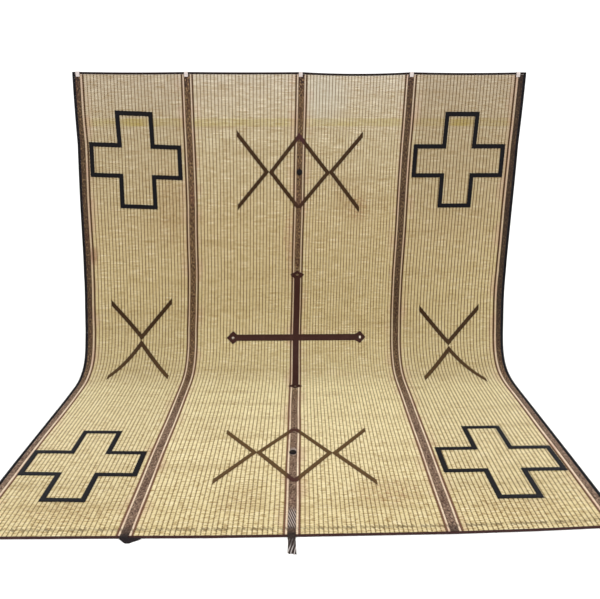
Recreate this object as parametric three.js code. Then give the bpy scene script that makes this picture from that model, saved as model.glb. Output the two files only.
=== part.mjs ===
// A reed and leather floor mat, hung by five clips along its top edge and swept out onto the floor.
// Millimetres. X runs across the mat, -Y is the side it is seen from, +Z is up.
// The origin is the middle of the top edge, on the mat's back.
//
// Places on the mat are given as the maker would: u across from the middle, s down from the top edge,
// and n out of the mat's back towards its front.

import * as THREE from 'three';

// The mat as a whole
const HALF_WIDTH = 1250;
const LENGTH = 3063;
const LENGTH_SKEW = 17; // how much longer the left edge is than the middle
const HEM_RISES = [21, 15, 10, 4, 2, 2, 2, 9, 21]; // shorter by this at each band and halfway to the next
const REED_VALLEY = 2.8; // thickness at a thong line
const REED_PEAK = 4.4; // thickness at the crown of a rib
const PIECE_GAP = 0.3; // between pieces that touch

// How it hangs: straight, then one wide bend, then flat on the floor
const BEND_START = 1240;
const BEND_END = 1933;
const BEND_SKEW = 30; // the bend starts earlier by this much at the right edge
const TOP_NARROWING = 0.034; // share of the width gathered in at the top
const NARROWING_FADE = 570;
const LEAN = -0.0235; // drift to the left down the length
const EDGE_BOW = 25; // the edges stand out by this much in the bend
const BOW_CENTRE = 1430;
const BOW_REACH = 230;
const FLOOR_SPREAD = { left: -18, right: 8 }; // how far out each edge lies on the floor
const SPREAD_START = 1455;
const SPREAD_LENGTH = 450;
const TOP_SAGS = [2.5, 1.5, 8, 3.5]; // between each two clips
const SAG_FADE = 120;

// Rows of the mat's solid: few where it is straight, more in the bend
const HANGING_ROWS = [0, SAG_FADE, 360, 760];
const BEND_STEPS = 9;
const BEND_FIRST_ROW = 1205;
const BEND_LAST_ROW = 1958;

// Woven leather bands, with a thin dark thong line on one or both sides
const BAND_WIDTH = 31;
const EDGE_BAND_WIDTH = 25;
const BAND_THICKNESS = 1.7;
const BAND_SEAT = REED_VALLEY + PIECE_GAP;
const THONG_WIDTH = 6;
const THONG_THICKNESS = 1.5;
const THONG_OFFSET = 29;
const BANDS = { leftEdge: -1222, left: -618, centre: 3.5, right: 612, rightEdge: 1222 };

// How far the side edges and the two bands between them stray to the side, down the length
const WANDER_ROWS = [0, 360, 700, 1100, 1450, 1750, 2050, 2600, 3100];
const WANDER = [
  { u: -HALF_WIDTH, shifts: [0, 12, 3, -6.5, 0, -7, -2, -2.5, 3] },
  { u: BANDS.left, shifts: [-9, 3.7, 8.6, 3.9, -7.5, -0.5, 2.3, 2, 4.3] },
  { u: BANDS.centre, shifts: [0, 0, 0, 0, 0, 0, 0, 0, 0] },
  { u: BANDS.right, shifts: [-2, -11.3, -11.8, -8, -1.5, -5.2, -2.2, -1, 0] },
  { u: HALF_WIDTH, shifts: [-1, -10.5, -5, 4.5, 0, -5, -1, 4, 7] },
];

// Ribs in the four panels between the bands
const PANEL_RIBS = [29, 29, 31, 29];
const FLAT_MARGIN = 0.5; // the flat under a band or thong is this much wider on each side

// Leather binding around the four edges
const BINDING_WIDTH = 11;
const BINDING_HEIGHT = 6;
const BINDING_BEVEL = 1.8;
const FIELD_HALF = HALF_WIDTH - BINDING_WIDTH - PIECE_GAP;

// Leather strips laid over the reeds
const STRIP_SEAT = BAND_SEAT + BAND_THICKNESS + PIECE_GAP;
const STRIP_THICKNESS = 1.6;
const STRIP_CELL = 200; // longest stretch across before a strip gets another row of points
const STRIP_CUTS = 3; // such rows on each side of a motif's first corner
const SMALLEST_CELL = 1e-3; // in square millimetres
const PLUS_STRIP = 25;
const THIN_STRIP = 25;
const DIAMOND_STRIP = 22.5;

// Plus outlines: centre, half sizes to the outside, lean of the upright, tilt of the arms and how far aside
// both ends of the arms lie
const PLUSES = {
  upper_left: {
    u: -920, s: 450, reach: 260, rise: 264.5, upright: 105, arm: 95,
    lean: 0.011, tilt: 0.039, aside: -5,
  },
  upper_right: {
    u: 914, s: 451, reach: 259.5, rise: 262, upright: 96.5, arm: 91.5,
    lean: -0.005, tilt: 0, aside: 1.5,
  },
  lower_left: {
    u: -928, s: 2609, reach: 263.5, rise: 263, upright: 96.5, arm: 94,
    lean: 0.006, tilt: 0.024, aside: -3,
  },
  lower_right: {
    u: 920, s: 2597, reach: 265, rise: 275, upright: 94, arm: 96.5,
    lean: 0.006, tilt: -0.01, aside: 0,
  },
};

// Crossed strips in the outer panels: an upper V over a lower one turned over, blunt where their tips meet
const CROSSED = [
  { name: 'crossed_left_upper', tip: [-922.5, 1493.5], ends: [[-1096, 1277], [-744.5, 1269.5]], meet: 1512 },
  { name: 'crossed_left_lower', tip: [-922, 1532], ends: [[-1087, 1782], [-733, 1788]], meet: 1512 },
  { name: 'crossed_right_upper', tip: [928.5, 1541], ends: [[752.5, 1324.5], [1104, 1319]], meet: 1561.5 },
  { name: 'crossed_right_lower', tip: [930, 1583.5], ends: [[753, 1818], [1103, 1833]], meet: 1561.5 },
];

// Diamonds over the centre band, some of their tips folded blunt, each with a chevron on both sides that is
// cut off where its tip meets the diamond's
const DIAMONDS = [
  {
    name: 'upper',
    loop: [[-2, 314.5], [168, 514.5], [9, 704], [-5, 704], [-158.5, 511]],
    left: { tip: [-183.5, 509], ends: [[-352, 302], [-351, 707.5]], meet: -171 },
    right: { tip: [186.5, 511], ends: [[361, 308], [360, 722]], meet: 177 },
  },
  {
    name: 'lower',
    loop: [[-4.5, 2348], [14.5, 2348], [170, 2545], [18, 2742], [4, 2742], [-155.5, 2539]],
    left: { tip: [-175, 2538], ends: [[-323, 2362], [-335.5, 2749]], meet: -165 },
    right: { tip: [192.5, 2546.5], ends: [[350.5, 2350], [358.5, 2761.5]], meet: 181 },
  },
];

// The central cross: four bars, each ending in a pierced diamond finial
const CROSS_CENTRE = { u: 4.5, s: 1502 };
const CROSS_BAR_HALF = { upright: 18, across: 19.5 };
const FINIALS = [
  { side: 'up', join: 372, widest: 393, tip: 418, half: 43 },
  { side: 'down', join: 370, widest: 389, tip: 411, half: 40 },
  { side: 'left', join: 354, widest: 379, tip: 417, half: 42 },
  { side: 'right', join: 362, widest: 391, tip: 425, half: 38 },
];
const FINIAL_HOLE = { along: 8, across: 11 };

// The centre band stops in a point above and below the cross. Its loose end runs out past the hem, and the
// left band's end is folded under itself there.
const CENTRE_BAND_TOP_POINT = { tip: 1082, full: 1050 };
const CENTRE_BAND_LOW_POINT = { tip: 1914, full: 1944 };
const POINT_HALF = 1.5;
const CENTRE_TAIL = [{ past: 23, shift: 1, half: 14.5 }, { past: 98, shift: 3.5, half: 17 }];
const LEFT_TAIL = [
  { past: 15.5, shift: 23.5, half: 46.5, lift: 4 },
  { past: 22, shift: 18.5, half: 30.5 },
  { past: 30, shift: 14.5, half: 15 },
  { past: 36, shift: 15, half: 5 },
];
const TAIL_THICKNESS = 1.7;
const TAIL_RISE = { from: 8, to: 2 }; // before the hem, where the band climbs onto its binding
const TAIL_FALL = 2; // past the binding, where it starts down to the floor
const FLOOR_GAP = 0.1;

// Round studs on the centre band
const STUD_RADIUS = 17;
const STUD_HEIGHT = 8;
const STUD_DIMPLE = 1.2;
const STUD_LIP = 1.2;
const STUD_DOME = [
  { radius: 0.93, height: 0.55 },
  { radius: 0.66, height: 0.88 },
  { radius: 0.36, height: 1 },
];
const STUD_DIMPLE_RADIUS = 2;
const STUD_SIDES = 16;
const STUDS = [
  { name: 'stud_upper', u: 4, s: 511 },
  { name: 'stud_lower', u: 1, s: 2541 },
];

// Folded plate clips over the top edge, one at each band
const CLIP_WIDTH = 20;
const CLIP_PLATE = 1.2;
const CLIP_DROP = 12.5;
const CLIP_CLEAR = 0.4;
const CLIP_STEP = { from: -1, to: -4 }; // where the front leaf steps in under the binding
const CLIP_SHIFTS = [2, -3, -5, 2, -16.5]; // each clip's place beside the middle of its band

const QUARTER_TURN = Math.PI / 2;

const smooth = (t) => {
  const c = Math.min(1, Math.max(0, t));
  return c * c * (3 - 2 * c);
};

// Share of the bend's length that goes down, and out, from its start to the share t
const BEND_SAMPLES = 400;
const bendDown = [0];
const bendOut = [0];
for (let i = 0; i < BEND_SAMPLES; i += 1) {
  const angle = QUARTER_TURN * smooth((i + 0.5) / BEND_SAMPLES);
  bendDown.push(bendDown[i] + Math.cos(angle) / BEND_SAMPLES);
  bendOut.push(bendOut[i] + Math.sin(angle) / BEND_SAMPLES);
}
const BEND_SHARE = bendDown[BEND_SAMPLES];

// Which stretch between two of the rising values holds the given one, or the nearest stretch
function stretchOf(values, value) {
  const next = values.findIndex((v) => v > value);
  return next < 0 ? values.length - 2 : Math.max(0, next - 1);
}

function along(samples, t) {
  const sample = Math.min(1, Math.max(0, t)) * BEND_SAMPLES;
  const i = Math.min(BEND_SAMPLES - 1, Math.floor(sample));
  return samples[i] + (sample - i) * (samples[i + 1] - samples[i]);
}

// The slope, depth and reach of the mat's back at (u, s). The floor stays level from side to side.
function hang(u, s) {
  const side = u / HALF_WIDTH;
  const start = BEND_START - BEND_SKEW * side;
  const end = BEND_END + (BEND_SKEW * side * (1 - BEND_SHARE)) / BEND_SHARE;
  const t = (s - start) / (end - start);
  const onFloor = Math.max(0, s - end);
  return {
    angle: QUARTER_TURN * smooth(t),
    down: Math.min(s, start) + (end - start) * along(bendDown, t),
    out: (end - start) * along(bendOut, t) + onFloor,
  };
}

function wander(u, s) {
  const row = stretchOf(WANDER_ROWS, s);
  const share = Math.min(1, (s - WANDER_ROWS[row]) / (WANDER_ROWS[row + 1] - WANDER_ROWS[row]));
  const column = stretchOf(WANDER.map((line) => line.u), u);
  const [left, right] = [WANDER[column], WANDER[column + 1]].map(({ shifts }) => (
    shifts[row] + share * (shifts[row + 1] - shifts[row])
  ));
  const across = (u - WANDER[column].u) / (WANDER[column + 1].u - WANDER[column].u);
  return left + Math.min(1, Math.max(0, across)) * (right - left);
}

function acrossAt(u, s) {
  const gathered = 1 - TOP_NARROWING * Math.exp(-s / NARROWING_FADE);
  const edge = Math.sign(u) * (Math.abs(u) / HALF_WIDTH) ** 4;
  const bow = EDGE_BOW * Math.exp(-(((s - BOW_CENTRE) / BOW_REACH) ** 2));
  const spread = u < 0 ? FLOOR_SPREAD.left : FLOOR_SPREAD.right;
  const laid = spread * smooth((s - SPREAD_START) / SPREAD_LENGTH);
  return u * gathered + LEAN * s + edge * (bow + laid) + wander(u, s);
}

// The top edge dips a little between each two bands, which hang from the clips, in four stretches
const SAG_STRETCHES = 4;
const bandPlaces = Object.values(BANDS);
const sagStations = [];
bandPlaces.forEach((u, i) => {
  const span = i + 1 < bandPlaces.length ? bandPlaces[i + 1] - u : 0;
  for (let k = 0; k < (span ? SAG_STRETCHES : 1); k += 1) {
    const share = k / SAG_STRETCHES;
    const deepest = span ? TOP_SAGS[i] : 0;
    sagStations.push({ u: u + share * span, sag: deepest * 4 * share * (1 - share) });
  }
});

function sagAt(u) {
  const next = sagStations.findIndex((station) => station.u > u);
  if (next < 1) {
    return 0;
  }
  const a = sagStations[next - 1];
  const b = sagStations[next];
  return a.sag + ((u - a.u) / (b.u - a.u)) * (b.sag - a.sag);
}

function hemRise(u) {
  const i = stretchOf(bandPlaces, u);
  const share = (u - bandPlaces[i]) / (bandPlaces[i + 1] - bandPlaces[i]);
  const at = 2 * (i + Math.min(1, Math.max(0, share)));
  const near = Math.min(HEM_RISES.length - 2, Math.floor(at));
  return HEM_RISES[near] + (at - near) * (HEM_RISES[near + 1] - HEM_RISES[near]);
}

const lengthAt = (u) => LENGTH - (LENGTH_SKEW * u) / HALF_WIDTH - hemRise(u);

const ROWS = [...HANGING_ROWS];
for (let i = 0; i <= BEND_STEPS; i += 1) {
  ROWS.push(BEND_FIRST_ROW + ((BEND_LAST_ROW - BEND_FIRST_ROW) * i) / BEND_STEPS);
}

function pointOnRow(u, s, n) {
  const { angle, down, out } = hang(u, s);
  const slack = sagAt(u) * Math.max(0, 1 - s / SAG_FADE);
  return new THREE.Vector3(
    acrossAt(u, s),
    -out - n * Math.cos(angle),
    -down - slack + n * Math.sin(angle),
  );
}

// The place of (u, s, n) on the mat's faceted form, which runs straight from row to row
function place(u, s, n) {
  let row = 0;
  while (row < ROWS.length - 1 && s > ROWS[row + 1]) {
    row += 1;
  }
  const from = ROWS[row];
  const to = row + 1 < ROWS.length ? ROWS[row + 1] : lengthAt(u);
  return pointOnRow(u, from, n).lerp(pointOnRow(u, to, n), (s - from) / (to - from));
}

const group = new THREE.Group();

function addMesh(name, geometry, color, roughness = 0.8, metalness = 0) {
  const material = new THREE.MeshStandardMaterial({ color, roughness, metalness });
  const mesh = new THREE.Mesh(geometry, material);
  mesh.name = name;
  group.add(mesh);
  return mesh;
}

function solid(points, triangles) {
  const geometry = new THREE.BufferGeometry();
  const numbers = points.flatMap((p) => p.toArray());
  geometry.setAttribute('position', new THREE.Float32BufferAttribute(numbers, 3));
  geometry.setIndex(triangles.flat());
  geometry.computeVertexNormals();
  return geometry;
}

// The reed field: one sheet, its ribs raised between the thong lines that bind the reeds

function ribbedColumns() {
  const columns = [];
  const flat = (from, to) => {
    columns.push({ u: from, n: REED_VALLEY }, { u: to, n: REED_VALLEY });
  };
  const ribs = (from, to, count) => {
    const pitch = (to - from) / count;
    for (let i = 0; i < count; i += 1) {
      columns.push({ u: from + (i + 0.5) * pitch, n: REED_PEAK });
      if (i + 1 < count) {
        columns.push({ u: from + (i + 1) * pitch, n: REED_VALLEY });
      }
    }
  };
  const bandHalf = BAND_WIDTH / 2 + FLAT_MARGIN;
  const edgeHalf = EDGE_BAND_WIDTH / 2 + FLAT_MARGIN;
  const thongNear = THONG_OFFSET - THONG_WIDTH / 2 - FLAT_MARGIN;
  const thongFar = THONG_OFFSET + THONG_WIDTH / 2 + FLAT_MARGIN;
  const inner = [BANDS.left, BANDS.centre, BANDS.right];

  flat(-FIELD_HALF, BANDS.leftEdge + edgeHalf);
  ribs(BANDS.leftEdge + edgeHalf, BANDS.leftEdge + thongNear, 1);
  flat(BANDS.leftEdge + thongNear, BANDS.leftEdge + thongFar);
  let panelStart = BANDS.leftEdge + thongFar;
  inner.forEach((band, i) => {
    ribs(panelStart, band - thongFar, PANEL_RIBS[i]);
    flat(band - thongFar, band - thongNear);
    ribs(band - thongNear, band - bandHalf, 1);
    flat(band - bandHalf, band + bandHalf);
    ribs(band + bandHalf, band + thongNear, 1);
    flat(band + thongNear, band + thongFar);
    panelStart = band + thongFar;
  });
  ribs(panelStart, BANDS.rightEdge - thongFar, PANEL_RIBS[3]);
  flat(BANDS.rightEdge - thongFar, BANDS.rightEdge - thongNear);
  ribs(BANDS.rightEdge - thongNear, BANDS.rightEdge - edgeHalf, 1);
  flat(BANDS.rightEdge - edgeHalf, FIELD_HALF);
  return columns;
}

function reedField() {
  const front = ribbedColumns();
  const backPlaces = [-FIELD_HALF, ...sagStations.map((station) => station.u), FIELD_HALF];
  const back = backPlaces.map((u) => ({ u, n: 0 }));
  const points = [];
  const triangles = [];
  const rowCount = ROWS.length + 1;
  const grid = (columns) => {
    const first = points.length;
    for (let row = 0; row < rowCount; row += 1) {
      for (const { u, n } of columns) {
        points.push(place(u, row < ROWS.length ? ROWS[row] : lengthAt(u), n));
      }
    }
    return (row, column) => first + row * columns.length + column;
  };
  const frontAt = grid(front);
  const backAt = grid(back);
  const skin = (columns, at, facing) => {
    for (let row = 0; row + 1 < rowCount; row += 1) {
      for (let c = 0; c + 1 < columns.length; c += 1) {
        const a = at(row, c);
        const b = at(row + 1, c);
        const d = at(row + 1, c + 1);
        const e = at(row, c + 1);
        triangles.push(facing ? [a, b, d] : [a, d, b], facing ? [a, d, e] : [a, e, d]);
      }
    }
  };
  skin(front, frontAt, true);
  skin(back, backAt, false);
  for (let row = 0; row + 1 < rowCount; row += 1) {
    const lastFront = front.length - 1;
    const lastBack = back.length - 1;
    triangles.push([frontAt(row, 0), backAt(row, 0), backAt(row + 1, 0)]);
    triangles.push([frontAt(row, 0), backAt(row + 1, 0), frontAt(row + 1, 0)]);
    triangles.push([frontAt(row, lastFront), backAt(row + 1, lastBack), backAt(row, lastBack)]);
    triangles.push([frontAt(row, lastFront), frontAt(row + 1, lastFront), backAt(row + 1, lastBack)]);
  }
  for (const row of [0, rowCount - 1]) {
    const top = row === 0;
    let f = 0;
    let b = 0;
    while (f + 1 < front.length || b + 1 < back.length) {
      const frontIsNext = f + 1 < front.length && front[f + 1].u <= back[b + 1]?.u;
      const stepFront = b + 1 === back.length || frontIsNext;
      const corner = stepFront ? frontAt(row, f + 1) : backAt(row, b + 1);
      const face = [frontAt(row, f), corner, backAt(row, b)];
      triangles.push(top ? face : face.reverse());
      if (stepFront) {
        f += 1;
      } else {
        b += 1;
      }
    }
  }
  return solid(points, triangles);
}

addMesh('reed_field', reedField(), 0xd9c697, 0.85);

// Bindings: a rolled leather strip beside each edge, its section out from the edge and up from the back

function bindingSection() {
  const bevel = BINDING_BEVEL;
  const high = BINDING_HEIGHT - bevel;
  const far = BINDING_WIDTH - bevel;
  return [
    [0, bevel], [0, high], [bevel, BINDING_HEIGHT], [far, BINDING_HEIGHT],
    [BINDING_WIDTH, high], [BINDING_WIDTH, bevel], [far, 0], [bevel, 0],
  ];
}

// A closed tube through rings of points, with flat ends
function tube(rings) {
  const size = rings[0].length;
  const points = rings.flat();
  const triangles = [];
  const faceQuad = (a, b, c, d) => triangles.push([a, b, c], [a, c, d]);
  for (let r = 0; r + 1 < rings.length; r += 1) {
    for (let i = 0; i < size; i += 1) {
      const j = (i + 1) % size;
      faceQuad(r * size + i, (r + 1) * size + i, (r + 1) * size + j, r * size + j);
    }
  }
  const last = (rings.length - 1) * size;
  for (let i = 1; i + 1 < size; i += 1) {
    triangles.push([0, i, i + 1], [last, last + i + 1, last + i]);
  }
  return pointingOut(points, triangles);
}

// Turns all the faces round where a closed form was wound inside out
function pointingOut(points, triangles) {
  const cross = new THREE.Vector3();
  let volume = 0;
  for (const [a, b, c] of triangles) {
    volume += points[a].dot(cross.crossVectors(points[b], points[c]));
  }
  return solid(points, volume < 0 ? triangles.map((t) => [...t].reverse()) : triangles);
}

// The rows that lie between two places on the mat, with those two
function rowsBetween(from, to) {
  return [from, ...ROWS.filter((s) => s > from + 1 && s < to - 1), to];
}

function sideBinding(side) {
  const edge = side * FIELD_HALF;
  const rings = rowsBetween(-BINDING_WIDTH, lengthAt(edge) + BINDING_WIDTH).map((s) => (
    bindingSection().map(([out, n]) => place(side * (FIELD_HALF + PIECE_GAP + out), s, n))
  ));
  return tube(rings);
}

function endBinding(isTop) {
  const reach = FIELD_HALF - PIECE_GAP;
  const sAt = (u, out) => (isTop ? -PIECE_GAP - out : lengthAt(u) + PIECE_GAP + out);
  const rings = [-reach, ...sagStations.map((station) => station.u), reach].map((u) => (
    bindingSection().map(([out, n]) => place(u, sAt(u, out), n))
  ));
  return tube(rings);
}

addMesh('binding_left', sideBinding(-1), 0x16141c, 0.6);
addMesh('binding_right', sideBinding(1), 0x16141c, 0.6);
addMesh('binding_top', endBinding(true), 0x2a1a14, 0.6);
addMesh('binding_bottom', endBinding(false), 0x3b1a20, 0.6);

// Straps: flat leather of one thickness through stations of place, height and half width

function strap(stations, thickness) {
  return tube(stations.map(({ u, s, n, half }) => [
    place(u - half, s, n),
    place(u + half, s, n),
    place(u + half, s, n + thickness),
    place(u - half, s, n + thickness),
  ]));
}

const END_MARGIN = 1;

function straightStations(u, half, from, to) {
  return rowsBetween(from, to).map((s) => ({ u, s, n: BAND_SEAT, half }));
}

// The stations of a band's loose end: up over the hem's binding, down, and along the floor
function tailStations(u, tail) {
  const edge = lengthAt(u);
  const past = edge + BINDING_WIDTH;
  const over = BINDING_HEIGHT + 2 * PIECE_GAP;
  const half = BAND_WIDTH / 2;
  return [
    { u, s: edge - TAIL_RISE.from, n: BAND_SEAT, half },
    { u, s: edge - TAIL_RISE.to, n: over, half },
    { u, s: past + TAIL_FALL, n: over, half },
    ...tail.map((at) => ({ u: u + at.shift, s: edge + at.past, n: at.lift ?? FLOOR_GAP, half: at.half })),
  ];
}

const topStart = END_MARGIN;
const bandHalf = BAND_WIDTH / 2;
const bottomStop = (u) => lengthAt(u) - END_MARGIN;
const bandColor = 0x5c4a3d;

for (const side of ['left', 'right']) {
  const u = BANDS[`${side}Edge`];
  const stations = straightStations(u, EDGE_BAND_WIDTH / 2, topStart, bottomStop(u));
  addMesh(`band_${side}_edge`, strap(stations, BAND_THICKNESS), bandColor);
}

const leftBand = straightStations(BANDS.left, bandHalf, topStart, bottomStop(BANDS.left));
leftBand.pop();
leftBand.push(...tailStations(BANDS.left, LEFT_TAIL));
addMesh('band_left', strap(leftBand, TAIL_THICKNESS), bandColor);

const rightBand = straightStations(BANDS.right, bandHalf, topStart, bottomStop(BANDS.right));
addMesh('band_right', strap(rightBand, BAND_THICKNESS), bandColor);

const upperPoint = CENTRE_BAND_TOP_POINT;
const upperBand = straightStations(BANDS.centre, bandHalf, topStart, upperPoint.full);
upperBand.push({ u: BANDS.centre, s: upperPoint.tip, n: BAND_SEAT, half: POINT_HALF });
addMesh('band_centre_upper', strap(upperBand, BAND_THICKNESS), bandColor);

const lowerPoint = CENTRE_BAND_LOW_POINT;
const lowerBand = straightStations(BANDS.centre, bandHalf, lowerPoint.full, bottomStop(BANDS.centre));
lowerBand.unshift({ u: BANDS.centre, s: lowerPoint.tip, n: BAND_SEAT, half: POINT_HALF });
lowerBand.pop();
lowerBand.push(...tailStations(BANDS.centre, CENTRE_TAIL));
addMesh('band_centre_lower', strap(lowerBand, TAIL_THICKNESS), bandColor);

// Thin dark thong lines beside the bands
const THONGS = [
  { name: 'thong_left_edge', u: BANDS.leftEdge + THONG_OFFSET },
  { name: 'thong_left_outer', u: BANDS.left - THONG_OFFSET },
  { name: 'thong_left_inner', u: BANDS.left + THONG_OFFSET },
  { name: 'thong_centre_left', u: BANDS.centre - THONG_OFFSET },
  { name: 'thong_centre_right', u: BANDS.centre + THONG_OFFSET },
  { name: 'thong_right_inner', u: BANDS.right - THONG_OFFSET },
  { name: 'thong_right_outer', u: BANDS.right + THONG_OFFSET },
  { name: 'thong_right_edge', u: BANDS.rightEdge - THONG_OFFSET },
];
for (const { name, u } of THONGS) {
  const stations = straightStations(u, THONG_WIDTH / 2, topStart, bottomStop(u));
  addMesh(name, strap(stations, THONG_THICKNESS), 0x4a2622);
}

// Leather strips over the reeds: flat convex cells in (u, s), cut at the mat's rows, given one thickness

function splitCell(cell, axis, value) {
  const parts = [[], []];
  cell.forEach((p, i) => {
    const q = cell[(i + 1) % cell.length];
    const here = p[axis] - value;
    const next = q[axis] - value;
    if (here <= 0) {
      parts[0].push(p);
    }
    if (here >= 0) {
      parts[1].push(p);
    }
    if (here * next < 0) {
      const share = here / (here - next);
      const cut = [p[0] + share * (q[0] - p[0]), p[1] + share * (q[1] - p[1])];
      cut[axis] = value;
      parts[0].push(cut);
      parts[1].push(cut);
    }
  });
  return parts.filter((part) => part.length > 2 && Math.abs(cellArea(part)) > SMALLEST_CELL);
}

function cellArea(cell) {
  let area = 0;
  cell.forEach(([u, s], i) => {
    const [v, t] = cell[(i + 1) % cell.length];
    area += (u * t - v * s) / 2;
  });
  return area;
}

function inlay(cells) {
  const middle = cells[0][0][0];
  let pieces = cells;
  for (const s of ROWS) {
    pieces = pieces.flatMap((cell) => splitCell(cell, 1, s));
  }
  for (let step = -STRIP_CUTS; step <= STRIP_CUTS; step += 1) {
    const u = (Math.round(middle / STRIP_CELL) + step) * STRIP_CELL;
    pieces = pieces.flatMap((cell) => splitCell(cell, 0, u));
  }
  const corners = [];
  const known = new Map();
  const cornerAt = ([u, s]) => {
    const key = `${u.toFixed(3)} ${s.toFixed(3)}`;
    if (!known.has(key)) {
      known.set(key, corners.length);
      corners.push([u, s]);
    }
    return known.get(key);
  };
  const loops = pieces.map((cell) => {
    const turned = cellArea(cell) > 0 ? [...cell].reverse() : cell;
    return turned.map(cornerAt).filter((c, i, all) => c !== all[(i + 1) % all.length]);
  });
  const count = corners.length;
  const heights = [STRIP_SEAT + STRIP_THICKNESS, STRIP_SEAT];
  const points = heights.flatMap((n) => corners.map(([u, s]) => place(u, s, n)));
  const sidesOf = (loop) => loop.map((c, i) => `${c} ${loop[(i + 1) % loop.length]}`);
  const edges = new Set(loops.flatMap(sidesOf));
  const triangles = [];
  for (const loop of loops) {
    for (let i = 1; i + 1 < loop.length; i += 1) {
      const face = [loop[0], loop[i], loop[i + 1]];
      triangles.push(face, face.map((corner) => count + corner).reverse());
    }
    loop.forEach((a, i) => {
      const b = loop[(i + 1) % loop.length];
      if (!edges.has(`${b} ${a}`)) {
        triangles.push([a, count + a, count + b], [a, count + b, b]);
      }
    });
  }
  return pointingOut(points, triangles);
}

// Mitred cells of a strip along a line of points, closed, or open with its ends cut along the ribs
function ribbon(line, width, closed) {
  const half = width / 2;
  const direction = (a, b) => {
    const length = Math.hypot(b[0] - a[0], b[1] - a[1]);
    return [(b[0] - a[0]) / length, (b[1] - a[1]) / length];
  };
  const sides = line.map((p, i) => {
    const before = line[(i + line.length - 1) % line.length];
    const after = line[(i + 1) % line.length];
    const first = !closed && i === 0;
    const last = !closed && i === line.length - 1;
    const into = first ? direction(p, after) : direction(before, p);
    const away = last ? into : direction(p, after);
    const normal = first || last ? [0, 1] : [-(into[1] + away[1]), into[0] + away[0]];
    const scale = half / (normal[0] * -into[1] + normal[1] * into[0]);
    return [
      [p[0] + normal[0] * scale, p[1] + normal[1] * scale],
      [p[0] - normal[0] * scale, p[1] - normal[1] * scale],
    ];
  });
  const cells = [];
  for (let i = 0; i < line.length - (closed ? 0 : 1); i += 1) {
    const j = (i + 1) % line.length;
    cells.push([sides[i][0], sides[j][0], sides[j][1], sides[i][1]]);
  }
  return cells;
}

// The part of some cells on one side of a cut across an axis, short of it by half the gap between pieces
function beyond(cells, axis, cut, side) {
  const stop = cut + (side * PIECE_GAP) / 2;
  const middle = (cell) => cell.reduce((sum, p) => sum + p[axis], 0) / cell.length;
  const parts = cells.flatMap((cell) => splitCell(cell, axis, stop));
  return parts.filter((part) => side * (middle(part) - stop) > 0);
}

function plusLine({ u, s, reach, rise, upright, arm, lean, tilt, aside }) {
  const inset = PLUS_STRIP / 2;
  const right = reach + aside - inset;
  const left = aside - reach + inset;
  const h = rise - inset;
  const w = upright - inset;
  const a = arm - inset;
  const corners = [
    [-w, -h], [w, -h], [w, -a], [right, -a], [right, a], [w, a],
    [w, h], [-w, h], [-w, a], [left, a], [left, -a], [-w, -a],
  ];
  return corners.map(([du, ds]) => [u + du + lean * ds, s + ds + tilt * du]);
}

for (const [corner, plus] of Object.entries(PLUSES)) {
  addMesh(`plus_${corner}`, inlay(ribbon(plusLine(plus), PLUS_STRIP, true)), 0x14131c, 0.55);
}

const brown = 0x4a3020;

for (const { name, tip, ends, meet } of CROSSED) {
  const cells = ribbon([ends[0], tip, ends[1]], THIN_STRIP, false);
  addMesh(name, inlay(beyond(cells, 1, meet, Math.sign(tip[1] - meet))), brown);
}

for (const { name, loop, left, right } of DIAMONDS) {
  const cells = beyond(beyond(ribbon(loop, DIAMOND_STRIP, true), 0, left.meet, 1), 0, right.meet, -1);
  addMesh(`diamond_${name}`, inlay(cells), brown);
  for (const [side, { tip, ends, meet }] of Object.entries({ left, right })) {
    const chevron = ribbon([ends[0], tip, ends[1]], DIAMOND_STRIP, false);
    addMesh(`chevron_${name}_${side}`, inlay(beyond(chevron, 0, meet, Math.sign(tip[0] - meet))), brown);
  }
}

function crossCells() {
  const { u, s } = CROSS_CENTRE;
  const { upright, across } = CROSS_BAR_HALF;
  const middle = [
    [u - upright, s - across],
    [u + upright, s - across],
    [u + upright, s + across],
    [u - upright, s + across],
  ];
  const cells = [middle];
  for (const { side, join, widest, tip, half } of FINIALS) {
    const isUpright = side === 'up' || side === 'down';
    const sign = side === 'up' || side === 'left' ? -1 : 1;
    const bar = isUpright ? upright : across;
    const start = isUpright ? across : upright;
    const at = (out, wide) => (isUpright ? [u + wide, s + sign * out] : [u + sign * out, s + wide]);
    const hole = {
      near: at(widest - FINIAL_HOLE.along, 0),
      far: at(widest + FINIAL_HOLE.along, 0),
      plus: at(widest, FINIAL_HOLE.across),
      minus: at(widest, -FINIAL_HOLE.across),
    };
    cells.push([at(start, -bar), at(start, bar), at(join, bar), at(join, -bar)]);
    cells.push([at(join, -bar), at(join, bar), hole.near]);
    cells.push([at(join, bar), at(widest, half), hole.plus, hole.near]);
    cells.push([at(widest, half), at(tip, 0), hole.far, hole.plus]);
    cells.push([at(tip, 0), at(widest, -half), hole.minus, hole.far]);
    cells.push([at(widest, -half), at(join, -bar), hole.near, hole.minus]);
  }
  return cells;
}

addMesh('cross', inlay(crossCells()), 0x432628);

// Studs: low domes with a small dimple, seated on the centre band

function studProfile() {
  const foot = [[0, 0], [STUD_RADIUS - STUD_LIP, 0], [STUD_RADIUS, STUD_LIP]];
  const dome = STUD_DOME.map(({ radius, height }) => [STUD_RADIUS * radius, STUD_HEIGHT * height]);
  const dimple = [[STUD_DIMPLE_RADIUS, STUD_HEIGHT - STUD_DIMPLE], [0, STUD_HEIGHT - STUD_DIMPLE]];
  return [...foot, ...dome, ...dimple].map(([r, h]) => new THREE.Vector2(r, h));
}

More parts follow.
